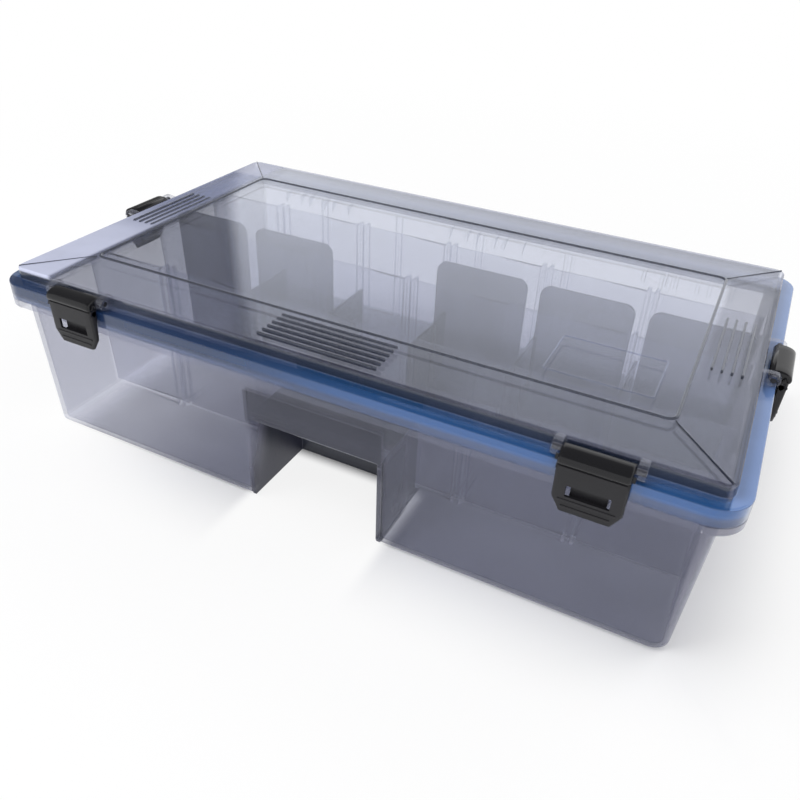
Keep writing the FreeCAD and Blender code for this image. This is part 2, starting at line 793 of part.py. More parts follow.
def make_long_divider(name, y, x_from_low, x_from_high, x_to_low, x_to_high, slots):
    """Build one long slotted divider that stands across the lane's length."""
    piece = Piece(name)
    sketch = piece.sketch("XZ", -y)
    points = [(x_from_low, S.floor), (x_to_low, S.floor), (x_to_high, S.divider_top_z)]
    for slot in slots:
        points += [
            (slot + S.slot_half_x, S.divider_top_z),
            (slot + S.slot_half_x, S.lap_z),
            (slot - S.slot_half_x, S.lap_z),
            (slot - S.slot_half_x, S.divider_top_z),
        ]
    points.append((x_from_high, S.divider_top_z))
    polygon(sketch, points)
    piece.pad(sketch, S.divider, both=True)
    fillet(piece, S.divider_corner, top_corners)
    return piece


def make_cross_divider(name, x, notch_y=None, keeper_y=None, keeper_side=0):
    """Build one low cross divider that stands in a pair of tracks between two long walls."""
    piece = Piece(name)
    y_from = S.wall_mid_y + INNER_HALF_WALL + S.divider_gap
    y_to = S.wall_back_y - INNER_HALF_WALL - S.divider_gap
    sketch = piece.sketch("YZ", x)
    points = [(y_from, S.floor)]
    if notch_y is not None:
        half = S.divider * HALF + S.lap_gap
        points += [
            (notch_y - half, S.floor),
            (notch_y - half, S.lap_z + S.lap_gap),
            (notch_y + half, S.lap_z + S.lap_gap),
            (notch_y + half, S.floor),
        ]
    points += [(y_to, S.floor), (y_to, S.cross_top_z), (y_from, S.cross_top_z)]
    polygon(sketch, points)
    piece.pad(sketch, S.divider, both=True)
    if keeper_y is not None:
        ribs = piece.sketch("XY", S.floor)
        near_face = x
        far_face = x + (S.divider * HALF + S.keeper_reach) * keeper_side
        x_from, x_to = (near_face, far_face) if keeper_side > 0 else (far_face, near_face)
        inside = S.divider * HALF + S.divider_gap
        for low, high in ((-inside - S.keeper_rib, -inside), (inside, inside + S.keeper_rib)):
            rectangle(ribs, x_from, x_to, keeper_y + low, keeper_y + high)
        piece.pad(ribs, S.cross_top_z - S.floor)
    return piece


def build():
    """Build every piece and return them."""
    pieces = [make_tub(), make_lid(), make_gasket()]
    for name, x in (
        ("hinge_pin_left", -S.hinge_pitch),
        ("hinge_pin_middle", ZERO),
        ("hinge_pin_right", S.hinge_pitch),
    ):
        pieces.append(make_hinge_pin(name, x))
    for side, x, y, turn in (
        ("front_left", -S.latch_centre, -S.lid_half_y, 0.0),
        ("front_right", S.latch_centre, -S.lid_half_y, 0.0),
        ("left", -S.lid_half_x, ZERO, -90.0),
        ("right", S.lid_half_x, ZERO, 90.0),
    ):
        pieces.append(make_latch(f"latch_{side}", x, y, turn))
        pieces.append(make_latch_pin(f"latch_pin_{side}", x, y, turn))
    end_gap = S.divider * HALF + S.divider_gap
    low_end = S.tub_foot_half_x - S.wall - S.divider_gap
    pieces.append(
        make_long_divider(
            "divider_long_left",
            S.left_divider_y,
            -low_end,
            -S.inner_wall_end,
            -S.track_pitch - end_gap,
            -S.track_pitch - end_gap,
            [FIRST_TRACK_X],
        )
    )
    pieces.append(
        make_long_divider(
            "divider_long_right",
            S.right_divider_y,
            end_gap,
            end_gap,
            low_end,
            S.inner_wall_end,
            [-FIRST_TRACK_X, S.track_pitch],
        )
    )
    left = S.left_divider_y
    right = S.right_divider_y
    pieces.append(make_cross_divider("divider_cross_1", FIRST_TRACK_X, notch_y=left))
    pieces.append(make_cross_divider("divider_cross_2", -S.track_pitch, keeper_y=left, keeper_side=-1))
    pieces.append(make_cross_divider("divider_cross_3", ZERO, keeper_y=right, keeper_side=1))
    pieces.append(make_cross_divider("divider_cross_4", S.track_pitch, notch_y=right))
    pieces.append(make_cross_divider("divider_cross_5", -FIRST_TRACK_X, notch_y=right))
    return pieces


def check_and_export(pieces):
    """Stop on any faulty object or shape, then write one STEP file per piece."""
    DOC.recompute()
    for item in DOC.Objects:
        if "Invalid" in item.State or "Error" in item.State:
            raise RuntimeError(f"{item.Name} is {item.State}")
    os.makedirs("parts", exist_ok=True)
    for piece in pieces:
        shape = piece.body.Shape
        if shape.isNull() or not shape.isValid() or len(shape.Solids) != 1:
            raise RuntimeError(f"{piece.name} has no single valid solid")
        box = shape.BoundBox
        FreeCAD.Console.PrintMessage(
            f"{piece.name}: {shape.Volume:.0f} mm3, x {box.XMin:.2f} {box.XMax:.2f}, "
            f"y {box.YMin:.2f} {box.YMax:.2f}, z {box.ZMin:.2f} {box.ZMax:.2f}\n"
        )
        shape.exportStep(f"parts/{piece.name}.step")


check_and_export(build())
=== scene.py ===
"""Dressed model of a waterproof tackle box: clear lid, frosted compartment tub, blue gasket and four black latches.

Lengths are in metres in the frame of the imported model: Z up, the front faces -Y, and the origin is the middle
of the footprint.
"""

import logging
import math
from dataclasses import dataclass
from enum import Enum
from typing import Mapping, Sequence, Union

import bmesh
import bpy
import numpy as np
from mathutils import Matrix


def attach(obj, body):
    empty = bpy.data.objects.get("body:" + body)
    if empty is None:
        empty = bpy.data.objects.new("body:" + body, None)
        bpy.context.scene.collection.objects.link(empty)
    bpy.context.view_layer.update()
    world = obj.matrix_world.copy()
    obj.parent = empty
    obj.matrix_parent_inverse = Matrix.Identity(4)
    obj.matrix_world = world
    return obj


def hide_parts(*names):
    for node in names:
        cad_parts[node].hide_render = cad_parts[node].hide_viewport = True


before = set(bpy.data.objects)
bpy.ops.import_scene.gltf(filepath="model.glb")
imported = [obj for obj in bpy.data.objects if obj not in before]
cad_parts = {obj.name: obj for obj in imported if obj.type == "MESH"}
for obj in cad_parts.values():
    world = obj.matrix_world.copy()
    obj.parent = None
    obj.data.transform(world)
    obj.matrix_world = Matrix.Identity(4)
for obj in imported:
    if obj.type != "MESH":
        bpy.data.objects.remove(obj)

LOG = logging.getLogger("tackle_box")
Array = np.ndarray
Triple = tuple[float, float, float]
Colour = Triple
Span = tuple[float, float, float, float]
Surface = tuple[Array, list]
Value = Union["Signal", float, Sequence[float]]
MM = 0.001


class Side(Enum):
    """Where a latch sits: its name, the lid edge that carries it and its turn about Z in degrees."""

    FRONT_LEFT = ("front_left", -123.75, -101.1, 0.0)
    FRONT_RIGHT = ("front_right", 123.75, -101.1, 0.0)
    LEFT = ("left", -170.0, 0.0, -90.0)
    RIGHT = ("right", 170.0, 0.0, 90.0)

    @property
    def label(self) -> str:
        """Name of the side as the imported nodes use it."""
        return self.value[0]

    def place(self, points: Array) -> Array:
        """Carry points drawn for a front latch, with y = 0 at the lid's edge, to this side.

        Args:
            points: An array of points in millimetres, one per row.

        Returns:
            The points in metres in the frame of the box.
        """
        _, x, y, degrees = self.value
        turn = math.radians(degrees)
        c, s = math.cos(turn), math.sin(turn)
        moved = points @ np.array([[c, s, 0.0], [-s, c, 0.0], [0.0, 0.0, 1.0]])
        return (moved + np.array([x, y, 0.0])) * MM


# Shader expressions


class Signal:
    """An output socket that takes part in Python expressions and adds a Math node for each operator."""

    def __init__(self, recipe: "Recipe", socket: bpy.types.NodeSocket) -> None:
        """Keep the socket and the recipe whose tree it belongs to."""
        self.recipe = recipe
        self.socket = socket

    def maths(self, operation: str, first: Value, second: Value = 0.0) -> "Signal":
        """Add one Math node.

        Args:
            operation: Blender's name of the operation.
            first: The first operand.
            second: The second operand.

        Returns:
            The node's output.
        """
        return self.recipe.node("ShaderNodeMath", {"operation": operation}, {0: first, 1: second})

    def __add__(self, other: Value) -> "Signal":
        """Sum."""
        return self.maths("ADD", self, other)

    def __radd__(self, other: Value) -> "Signal":
        """Sum with a number on the left."""
        return self.maths("ADD", other, self)

    def __sub__(self, other: Value) -> "Signal":
        """Difference."""
        return self.maths("SUBTRACT", self, other)

    def __rsub__(self, other: Value) -> "Signal":
        """Difference with a number on the left."""
        return self.maths("SUBTRACT", other, self)

    def __mul__(self, other: Value) -> "Signal":
        """Product."""
        return self.maths("MULTIPLY", self, other)

    def __rmul__(self, other: Value) -> "Signal":
        """Product with a number on the left."""
        return self.maths("MULTIPLY", other, self)

    def __truediv__(self, other: Value) -> "Signal":
        """Quotient."""
        return self.maths("DIVIDE", self, other)

    def size(self) -> "Signal":
        """The value without its sign."""
        return self.maths("ABSOLUTE", self)

    def at_least(self, other: Value) -> "Signal":
        """The larger of two values."""
        return self.maths("MAXIMUM", self, other)

    def __pow__(self, other: Value) -> "Signal":
        """Power."""
        return self.maths("POWER", self, other)

    def clamped(self) -> "Signal":
        """Keep the value between 0 and 1."""
        return self.maths("MINIMUM", self.maths("MAXIMUM", self, 0.0), 1.0)

    def smooth_step(self, low: float, high: float) -> "Signal":
        """Rise smoothly from 0 at LOW to 1 at HIGH, by the cubic 3t^2 - 2t^3."""
        share = ((self - low) / (high - low)).clamped()
        return share * share * (3.0 - 2.0 * share)

    def within(self, span: Span) -> "Signal":
        """Rise from 0 to 1 between the span's first two places and fall back between its last two."""
        return self.smooth_step(span[0], span[1]) * (1.0 - self.smooth_step(span[2], span[3]))


class Recipe:
    """The node tree of one material or of the surroundings, written as expressions."""

    def __init__(self, owner: bpy.types.ID, output: str = "ShaderNodeOutputMaterial") -> None:
        """Empty the owner's tree and give it an output node.

        Args:
            owner: A material or a world.
            output: Type name of its output node.
        """
        self.owner = owner
        owner.use_nodes = True
        self.tree = owner.node_tree
        self.tree.nodes.clear()
        self.target = self.tree.nodes.new(output)

    @classmethod
    def named(cls, name: str) -> "Recipe":
        """Start a new material."""
        return cls(bpy.data.materials.new(name))

    def node(
        self,
        kind: str,
        settings: Mapping[str, object] | None = None,
        inputs: Mapping[Union[int, str], Value] | None = None,
        output: Union[int, str] = 0,
    ) -> Signal:
        """Add any node.

        Args:
            kind: Blender's type name of the node.
            settings: Properties to set first.
            inputs: Values or links of the node's sockets, by name or number.
            output: The output to hand back, by name or number.

        Returns:
            The chosen output as a signal.
        """
        made = self.tree.nodes.new(kind)
        for name, value in (settings or {}).items():
            setattr(made, name, value)
        for name, value in (inputs or {}).items():
            socket = made.inputs[name]
            if isinstance(value, Signal):
                self.tree.links.new(value.socket, socket)
            else:
                socket.default_value = value
        return Signal(self, made.outputs[output])

    def place(self) -> Signal:
        """Object coordinates, in metres."""
        return self.node("ShaderNodeTexCoord", output="Object")

    def parts(self, vector: Signal) -> tuple[Signal, Signal, Signal]:
        """Split a vector into its three numbers.

        Args:
            vector: The vector.

        Returns:
            Its x, y and z.
        """
        made = self.tree.nodes.new("ShaderNodeSeparateXYZ")
        self.tree.links.new(vector.socket, made.inputs[0])
        return tuple(Signal(self, made.outputs[k]) for k in range(3))

    def noise(self, scale: float, detail: float = 3.0, stretch: Triple = (1.0, 1.0, 1.0)) -> Signal:
        """Cloudy noise between 0 and 1 with SCALE cells per metre, drawn out by STRETCH."""
        grain = self.node("ShaderNodeMapping", {}, {"Vector": self.place(), "Scale": stretch})
        return self.node("ShaderNodeTexNoise", {}, {"Vector": grain, "Scale": scale, "Detail": detail})

    def bump(self, height: Signal, strength: float, distance: float) -> Signal:
        """Turn a height into a normal."""
        return self.node("ShaderNodeBump", {}, {"Height": height, "Strength": strength, "Distance": distance})

    def mixed(self, factor: Value, first: Value, second: Value) -> Signal:
        """Blend two colours by a factor."""
        return self.node(
            "ShaderNodeMix",
            {"data_type": "RGBA"},
            {"Factor": factor, 6: _four(first), 7: _four(second)},
            output=2,
        )

    def facing(self) -> Signal:
        """How far the surface turns away from the ray: 0 head on, 1 at its edge."""
        return self.node("ShaderNodeLayerWeight", {}, {"Blend": 0.5}, output="Facing")

    def finish(self, shader: Signal) -> bpy.types.ID:
        """Join a shader to the output and give the material or world."""
        self.tree.links.new(shader.socket, self.target.inputs["Surface"])
        return self.owner


def _four(value: Value) -> Value:
    """Give a plain colour its fourth number, and leave a signal as it is."""
    return value if isinstance(value, Signal) else (*value, 1.0)


# Finishes

# Patterns: cells per metre, detail and stretch along x, y and z.
CLOUDS = (28.0, 4.0, (1.0, 1.6, 0.6))
SCUFFS = (160.0, 5.0, (1.0, 9.0, 1.0))
SPECKS = (900.0, 2.0)
WAVES = (26.0, 2.0)
TONES = (70.0, 4.0)
STREAKS = (300.0, 3.0, (1.0, 1.0, 7.0))
FLOOR_TONES = (3.0, 2.0)
GRAIN_DETAIL = 3.0
RELIEF_DETAIL = 4.0

# Values over which scuffs and streaks rise.
SCUFF_SPAN = (0.55, 0.75)
STREAK_SPAN = (0.5, 0.8)

# Clear plastic: share mirrored head on, where the mirror takes the colour of the edge, how much the haze
# grows at a slant and varies with the clouds, its lighter tone, and the weight of specks and of wear.
HEAD_ON = 0.04
EDGE_SPAN = (0.72, 0.92)
SLANT = 5.0
CLOUDY = 0.8
CLOUDY_ZONE = 0.3
LIGHTER = 1.25
SPECK_SHARE = 0.3
GLOSS_WEAR = 0.5

# Solid plastic: weight of clouds and of relief in the tone, roughness that the clouds add, strength of the
# relief, roughness of the coat, half width of the polish's border in metres, and how much painted shade
# darkens the polished part.
TONE_MIX = (0.6, 0.5)
CLOUDY_ROUGH = 0.06
RELIEF_STRENGTH = 0.7
COAT_ROUGH = 0.12
POLISH_BORDER = 0.0004
POLISH_PAINTED_SHADE = 0.7

EVERYWHERE: Span = (-1.0, -0.9, 0.9, 1.0)


def above(start: float, full: float) -> Span:
    """Span that rises from START to FULL and stays."""
    return (start, full, *EVERYWHERE[2:])


def below(full: float, end: float) -> Span:
    """Span that holds up to FULL and falls to END."""
    return (*EVERYWHERE[:2], full, end)


def varied(pattern: Signal, spread: float) -> Signal:
    """Factor that grows with a pattern between 0 and 1, by SPREAD in all, and is 1 at its middle."""
    return (1.0 - spread / 2) + spread * pattern


@dataclass(frozen=True)
class Zone:
    """A part of a moulding with haze and colour of its own; some zones paint shade, others lighter reflected light.

    Each span gives four places, in metres: the zone rises from 0 at the first to 1 at the second and falls
    from 1 at the third to 0 at the fourth.

    Attributes:
        haze: Share of the view that one surface veils there.
        body: Colour of that haze; in some zones it is painted shade, in others painted reflected light.
        height: Span of z.
        length: Span of x.
        depth: Span of y.
        outside: Whether the zone is what lies outside of the length and depth.
        gloss: How much of the mirrored share is kept there.
    """

    haze: float
    body: Colour
    height: Span = EVERYWHERE
    length: Span = EVERYWHERE
    depth: Span = EVERYWHERE
    outside: bool = False
    gloss: float = 1.0

    def share(self, r: Recipe) -> Signal:
        """Work out how much of the zone a point holds: the product of its three spans.

        Args:
            r: The recipe of the material.

        Returns:
            The share, between 0 and 1.
        """
        x, y, z = r.parts(r.place())
        plan = x.within(self.length) * y.within(self.depth)
        return z.within(self.height) * (1.0 - plan if self.outside else plan)


@dataclass(frozen=True)
class ClearPlastic:
    """Smoky see-through moulding: it passes tinted light, holds some haze and mirrors more at a slant.

    The mirrored share of one surface is 0.04 + 0.96 f^5 of the gloss and its haze grows by 1 + 5 f^2, where
    f is how far it turns away. The haze also follows the clouds, and each zone adds haze and colour of its own,
    which in several zones is painted shade and in others painted light.

    Attributes:
        name: Name of the material.
        tint: Colour that one surface passes.
        haze: Share of the view that one surface veils.
        body: Colour of the haze.
        rough: Roughness of the haze.
        gloss_rough: Roughness of the mirroring skin.
        scuffed: Roughness that is added where the surface is scuffed.
        grain: Height of the fine relief, in metres.
        grain_scale: Cells of the relief per metre.
        wave: Height of the slow unevenness of the moulding, in metres.
        gloss: How much of the mirrored share is kept.
        edge: Colour that the mirror takes where the surface turns fully away and the wall looks thick.
        shine: Colour of the mirror elsewhere.
        zones: Parts with haze and colour of their own; several paint shade and others lighter reflected light.
    """

    name: str
    tint: Colour
    haze: float
    body: Colour
    rough: float
    gloss_rough: float
    scuffed: float
    grain: float
    grain_scale: float
    wave: float
    gloss: float = 1.0
    edge: Colour = (1.0, 1.0, 1.0)
    shine: Colour = (0.88, 0.92, 1.0)
    zones: tuple[Zone, ...] = ()

    def material(self) -> bpy.types.Material:
        """Build the material: the view through it, veiled by haze, under a mirroring skin.

        Returns:
            The material.
        """
        r = Recipe.named(self.name)
        clouds = r.noise(*CLOUDS)
        scuffs = r.noise(*SCUFFS).smooth_step(*SCUFF_SPAN)
        worn = self.scuffed * (scuffs + SPECK_SHARE * r.noise(*SPECKS))
        relief = r.noise(self.grain_scale, GRAIN_DETAIL) * self.grain + r.noise(*WAVES) * self.wave
        normal = r.bump(relief, 1.0, 1.0)
        turned = r.facing()
        veil = self.haze * varied(clouds, CLOUDY) * (1.0 + SLANT * turned * turned)
        kept = (HEAD_ON + (1.0 - HEAD_ON) * turned ** 5.0) * self.gloss
        colour = r.mixed(clouds, self.body, tuple(LIGHTER * c for c in self.body))
        # Zones mix in haze and colour by place; several of them paint shade and others lighter reflected light.
        for zone in self.zones:
            share = zone.share(r)
            veil = veil + share * zone.haze * varied(clouds, CLOUDY_ZONE)
            colour = r.mixed(share, colour, zone.body)
            kept = kept * (1.0 - (1.0 - zone.gloss) * share)
        looks = {"Base Color": colour, "Roughness": self.rough + worn, "Normal": normal}
        hazy = r.node("ShaderNodeBsdfPrincipled", {}, looks)
        caught = r.mixed(turned.smooth_step(*EDGE_SPAN), self.shine, self.edge)
        dull = self.gloss_rough + GLOSS_WEAR * worn
        looks = {"Base Color": caught, "Metallic": 1.0, "Roughness": dull, "Normal": normal}
        mirror = r.node("ShaderNodeBsdfPrincipled", {}, looks)
        clear = r.node("ShaderNodeBsdfTransparent", {}, {"Color": (*self.tint, 1.0)})
        inner = r.node("ShaderNodeMixShader", {}, {0: veil.clamped(), 1: clear, 2: hazy})
        return r.finish(r.node("ShaderNodeMixShader", {}, {0: kept.clamped(), 1: inner, 2: mirror}))


@dataclass(frozen=True)
class SolidPlastic:
    """Opaque plastic or rubber with fine relief, cloudy tone and rubbed spots.

    Attributes:
        name: Name of the material.
        dark: Darker tone.
        light: Lighter tone.
        rough: Roughness.
        rubbed: Roughness that is added where the surface is rubbed.
        grain: Height of the fine relief, in metres.
        grain_scale: Cells of the relief per metre.
        coat: Weight of the glossy coat.
        metal: How metallic it is.
        polish_and_shade: Height over which it is polished, in metres, and how much less rough it is there; above
            that height its tone is also darkened, painted shade.
        index: Refractive index.
    """

    name: str
    dark: Colour
    light: Colour
    rough: float
    rubbed: float
    grain: float
    grain_scale: float
    coat: float = 0.0
    metal: float = 0.0
    polish_and_shade: tuple[float, float] | None = None
    index: float = 1.5

    def material(self) -> bpy.types.Material:
        """Build the material.

        Returns:
            The material.
        """
        r = Recipe.named(self.name)
        clouds = r.noise(*TONES)
        fine = r.noise(self.grain_scale, RELIEF_DETAIL)
        streaks = r.noise(*STREAKS).smooth_step(*STREAK_SPAN)
        tone = (TONE_MIX[0] * clouds + TONE_MIX[1] * fine).clamped()
        rough = self.rough + self.rubbed * streaks + CLOUDY_ROUGH * clouds
        if self.polish_and_shade:
            height, less = self.polish_and_shade
            over = r.parts(r.place())[2].smooth_step(height - POLISH_BORDER, height + POLISH_BORDER)
            rough = rough - over * less
            # Painted shade: the polished part's tone is darkened.
            tone = tone * (1.0 - POLISH_PAINTED_SHADE * over)
        skin = r.node(
            "ShaderNodeBsdfPrincipled",
            {},
            {
                "Base Color": r.mixed(tone, self.dark, self.light),
                "Metallic": self.metal,
                "Roughness": rough,
                "IOR": self.index,
                "Coat Weight": self.coat,
                "Coat Roughness": COAT_ROUGH,
                "Normal": r.bump(fine, RELIEF_STRENGTH, self.grain),
            },
        )
        return r.finish(skin)


OUTSIDE_LID = {
    "length": (-0.1697, -0.1686, 0.1686, 0.1697), "depth": (-0.1008, -0.0997, 0.0997, 0.1008), "outside": True
}
FLANGE_TOP = (0.0832, 0.0838, 0.0841, 0.0849)
BORDER_TOP = above(0.0880, 0.0892)
LEFT_BORDER = below(-0.1490, -0.1440)

LID_PLASTIC = ClearPlastic(
    "lid_clear_plastic", tint=(0.908, 0.916, 0.950), haze=0.020, body=(0.08, 0.085, 0.13), rough=0.2,
    gloss_rough=0.02, scuffed=0.04, grain=2e-6, grain_scale=300.0, wave=1e-5, gloss=1.7, edge=(0.10, 0.11, 0.17),
    zones=(
        # Skirt: its foot, and the gasket's blue over it.
        Zone(0.45, (0.04, 0.09, 0.24), (0.0730, 0.0740, 0.0785, 0.0800), **OUTSIDE_LID),
        Zone(0.62, (0.006, 0.11, 0.38), (0.0785, 0.0800, 0.0832, 0.0838), **OUTSIDE_LID),
        # Flange from above, with the gasket's blue through it; its right end made paler, painted light.
        Zone(0.50, (0.010, 0.085, 0.26), FLANGE_TOP, gloss=0.6, **OUTSIDE_LID),
        Zone(0.35, (0.14, 0.24, 0.50), FLANGE_TOP, above(0.1686, 0.1697)),
        # Upright wall and the rounding over it, painted dark as shade.
        Zone(0.88, (0.018, 0.028, 0.055), (0.0841, 0.0849, 0.0886, 0.0892), gloss=0.5, **OUTSIDE_LID),
        Zone(0.30, (0.030, 0.035, 0.060), (0.0886, 0.0892, 0.0898, 0.0901), gloss=0.4, **OUTSIDE_LID),
        # Sloping border: painted lighter reflected light on the left side, more on its front half, and on the back
        # side; painted shade on the back half of the right side.
        Zone(0.40, (0.38, 0.42, 0.64), BORDER_TOP, LEFT_BORDER, gloss=0.5),
        Zone(0.35, (0.60, 0.63, 0.80), BORDER_TOP, LEFT_BORDER, below(-0.05, 0.02), gloss=0.3),
        Zone(0.20, (0.42, 0.44, 0.60), BORDER_TOP, depth=above(0.0720, 0.0760)),
        Zone(0.30, (0.045, 0.048, 0.075), BORDER_TOP, above(0.1440, 0.1480), (-0.06, 0.02, 0.07, 0.08), gloss=0.7),
        # Left part of the front skirt, painted darker as shade.
        Zone(
            0.32, (0.012, 0.034, 0.100), (0.0765, 0.0785, 0.0841, 0.0849), below(-0.06, 0.06),
            below(-0.1008, -0.0997), gloss=0.5,
        ),
    ),
)
FITTING_PLASTIC = ClearPlastic(
    "lid_fitting_plastic", tint=(0.94, 0.943, 0.96), haze=0.08, body=(0.20, 0.205, 0.26), rough=0.2,
    gloss_rough=0.03, scuffed=0.05, grain=2e-6, grain_scale=300.0, wave=1e-5, edge=(0.45, 0.46, 0.55),
)
# Ribs, bead and hips: a darker, hazier copy of the lid plastic, whose dark body paints their dark lines as shade.
RIB_SHADED_PLASTIC = ClearPlastic(
    "lid_rib_shaded_plastic", tint=(0.86, 0.87, 0.905), haze=0.48, body=(0.024, 0.029, 0.052), rough=0.2,
    gloss_rough=0.03, scuffed=0.06, grain=3e-6, grain_scale=600.0, wave=1e-5, gloss=1.5, edge=(0.05, 0.055, 0.09),
)
TUB_PLASTIC = ClearPlastic(
    "tub_frosted_plastic", tint=(0.934, 0.938, 0.966), haze=0.040, body=(0.30, 0.30, 0.39), rough=0.4,
    gloss_rough=0.16, scuffed=0.1, grain=8e-6, grain_scale=1800.0, wave=3e-5, edge=(0.75, 0.75, 0.82),
    zones=(
        # Bottom plate, but for its left end, painted dark as shade under the box; and the walls at both ends,
        # hazier still at the right end.
        Zone(0.28, (0.09, 0.093, 0.145), below(0.0022, 0.0034), above(-0.166, -0.136)),
        Zone(0.18, (0.22, 0.22, 0.30), length=(-0.1640, -0.1630, 0.1630, 0.1640), outside=True),
        Zone(0.24, (0.20, 0.20, 0.27), length=above(0.1630, 0.1640)),
        # Carrying recess, painted dark as shade: its depth, its left wall, the strip over it and the front edge of
        # its right wall.
        Zone(
            0.85, (0.010, 0.013, 0.026), below(0.0550, 0.0640), (-0.0352, -0.0347, 0.0347, 0.0352),
            (-0.1010, -0.0850, -0.0574, -0.0570), gloss=0.3,
        ),
        Zone(
            0.80, (0.036, 0.038, 0.064), below(0.0040, 0.0450), (-0.0360, -0.0352, -0.0334, -0.0328),
            (-0.1030, -0.1010, -0.0574, -0.0570), gloss=0.1,
        ),
        Zone(
            0.55, (0.040, 0.043, 0.070), (0.0440, 0.0452, 0.0620, 0.0632), (-0.0362, -0.0352, 0.0352, 0.0362),
            below(-0.0970, -0.0950), gloss=0.6,
        ),
        Zone(
            0.60, (0.050, 0.053, 0.085), below(0.0430, 0.0450), (0.0326, 0.0332, 0.0354, 0.0362),
            below(-0.0800, -0.0700), gloss=0.5,
        ),
    ),
)
DIVIDER_PLASTIC = ClearPlastic(
    "divider_smoky_plastic", tint=(0.73, 0.738, 0.79), haze=0.30, body=(0.035, 0.038, 0.062), rough=0.3,
    gloss_rough=0.1, scuffed=0.1, grain=6e-6, grain_scale=1500.0, wave=3e-5, edge=(0.30, 0.31, 0.40),
)
BLUE_RUBBER = SolidPlastic(
    "gasket_blue_rubber", dark=(0.012, 0.12, 0.36), light=(0.02, 0.19, 0.50), rough=0.34, rubbed=0.08,
    grain=1e-5, grain_scale=2500.0, coat=0.2,
)
LATCH_PLASTIC = SolidPlastic(
    "latch_black_plastic", dark=(0.007, 0.007, 0.0085), light=(0.020, 0.0195, 0.023), rough=0.40, rubbed=0.08,
    grain=1.2e-5, grain_scale=3000.0, coat=0.05, polish_and_shade=(0.0850, 0.27), index=1.38,
)
PIN_PLASTIC = SolidPlastic(
    "latch_pin_black", dark=(0.012, 0.012, 0.014), light=(0.022, 0.022, 0.024), rough=0.42, rubbed=0.08,
    grain=1e-5, grain_scale=2500.0,
)
PIN_STEEL = SolidPlastic(
    "hinge_pin_steel", dark=(0.46, 0.46, 0.48), light=(0.60, 0.60, 0.62), rough=0.26, rubbed=0.12,
    grain=6e-6, grain_scale=4000.0, metal=1.0,
)


# Mesh making

# Points on a quarter circle of a wall's section, on the rounding of an outline or the end of a bar, across
# the bead, round an eye and round a barrel.
ARC_STEPS = 5
ROUNDING_STEPS = 4
BEAD_STEPS = 13
EYE_STEPS = 56
BARREL_STEPS = 32

# Radius of the edges of a plate with an eye, in millimetres.
EYE_EDGE = 0.4


def in_scene(name: str, data: bpy.types.ID) -> bpy.types.Object:
    """Make an object of a mesh, a lamp or a camera.

    Args:
        name: Its name.
        data: The mesh, lamp or camera.

    Returns:
        The new object, linked to the scene, at the origin.
    """
    made = bpy.data.objects.new(name, data)
    bpy.context.scene.collection.objects.link(made)
    return made


def modify(piece: bpy.types.Object, name: str, kind: str, **settings: object) -> None:
    """Put a live modifier on a piece.

    Args:
        piece: The piece.
        name: Name of the modifier.
        kind: Blender's type name of it.
        settings: Its properties.
    """
    made = piece.modifiers.new(name, kind)
    for key, value in settings.items():
        setattr(made, key, value)


def mesh_object(name: str, points: Array, faces: Sequence, finish: bpy.types.Material) -> bpy.types.Object:
    """Make an object whose mesh holds the points as they are.

    Args:
        name: Name of the piece.
        points: Points in metres, one per row.
        faces: Faces as rows of point numbers.
        finish: The material.

    Returns:
        The new object at the origin.
    """
    mesh = bpy.data.meshes.new(name)
    mesh.from_pydata(points, [], [list(map(int, f)) for f in faces])
    mesh.materials.append(finish)
    mesh.polygons.foreach_set("use_smooth", np.ones(len(mesh.polygons), bool))
    mesh.update()
    return in_scene(name, mesh)


def grid_faces(rows: int, columns: int, round_rows: bool, round_columns: bool) -> Array:
    """Number the quads of a grid of points stored row by row.

    Args:
        rows: Number of rows of points.
        columns: Number of points in a row.
        round_rows: Whether the last row joins the first.
        round_columns: Whether the last column joins the first.

    Returns:
        One row of four point numbers per quad.
    """
    i = np.arange(rows if round_rows else rows - 1)[:, None]
    j = np.arange(columns if round_columns else columns - 1)[None, :]
    after_i, after_j = (i + 1) % rows, (j + 1) % columns
    corners = [i * columns + j, after_i * columns + j, after_i * columns + after_j, i * columns + after_j]
    return np.stack([np.broadcast_to(c, (i.size, j.size)) for c in corners], axis=-1).reshape(-1, 4)


def rounded_rectangles(size: Array, radius: Array, steps: int) -> tuple[Array, Array]:
    """Walk once round each of several rectangles with rounded corners.

    Each corner is a quarter circle about a centre set in by the radius; the normals turn with it.

    Args:
        size: Half length and half depth, one rectangle per row.
        radius: Radius of each rectangle's corners.
        steps: Points per corner.

    Returns:
        The points, as rectangles by points by two, and the outward normals, one per row.
    """
    angle = (np.arange(4)[:, None] + np.linspace(0.0, 1.0, steps)[None, :]) * (math.pi / 2)
    normal = np.stack([np.cos(angle), np.sin(angle)], axis=-1)
    signs = np.array([[1, 1], [-1, 1], [-1, -1], [1, -1]])
    centre = signs * (size - radius[:, None])[:, None, :]
    points = centre[:, :, None, :] + radius[:, None, None, None] * normal
    return points.reshape(len(size), -1, 2), normal.reshape(-1, 2)


def rounded_profile(outline: Sequence, radius: float) -> Array:
    """Round each corner of a closed outline.

    The corner is replaced by the curve (1-t)^2 a + 2t(1-t) b + t^2 c between points a and c on its two
    sides, each the radius away from the corner b.

    Args:
        outline: Corners in order.
        radius: How far from each corner its rounding starts.

    Returns:
        The rounded outline.
    """
    corners = np.array(outline)
    before = np.roll(corners, 1, axis=0) - corners
    after = np.roll(corners, -1, axis=0) - corners
    a = corners + before / np.linalg.norm(before, axis=1, keepdims=True) * radius
    c = corners + after / np.linalg.norm(after, axis=1, keepdims=True) * radius
    t = np.linspace(0.0, 1.0, ROUNDING_STEPS)[None, :, None]
    curve = (1 - t) ** 2 * a[:, None] + 2 * t * (1 - t) * corners[:, None] + t**2 * c[:, None]
    return curve.reshape(-1, corners.shape[1])


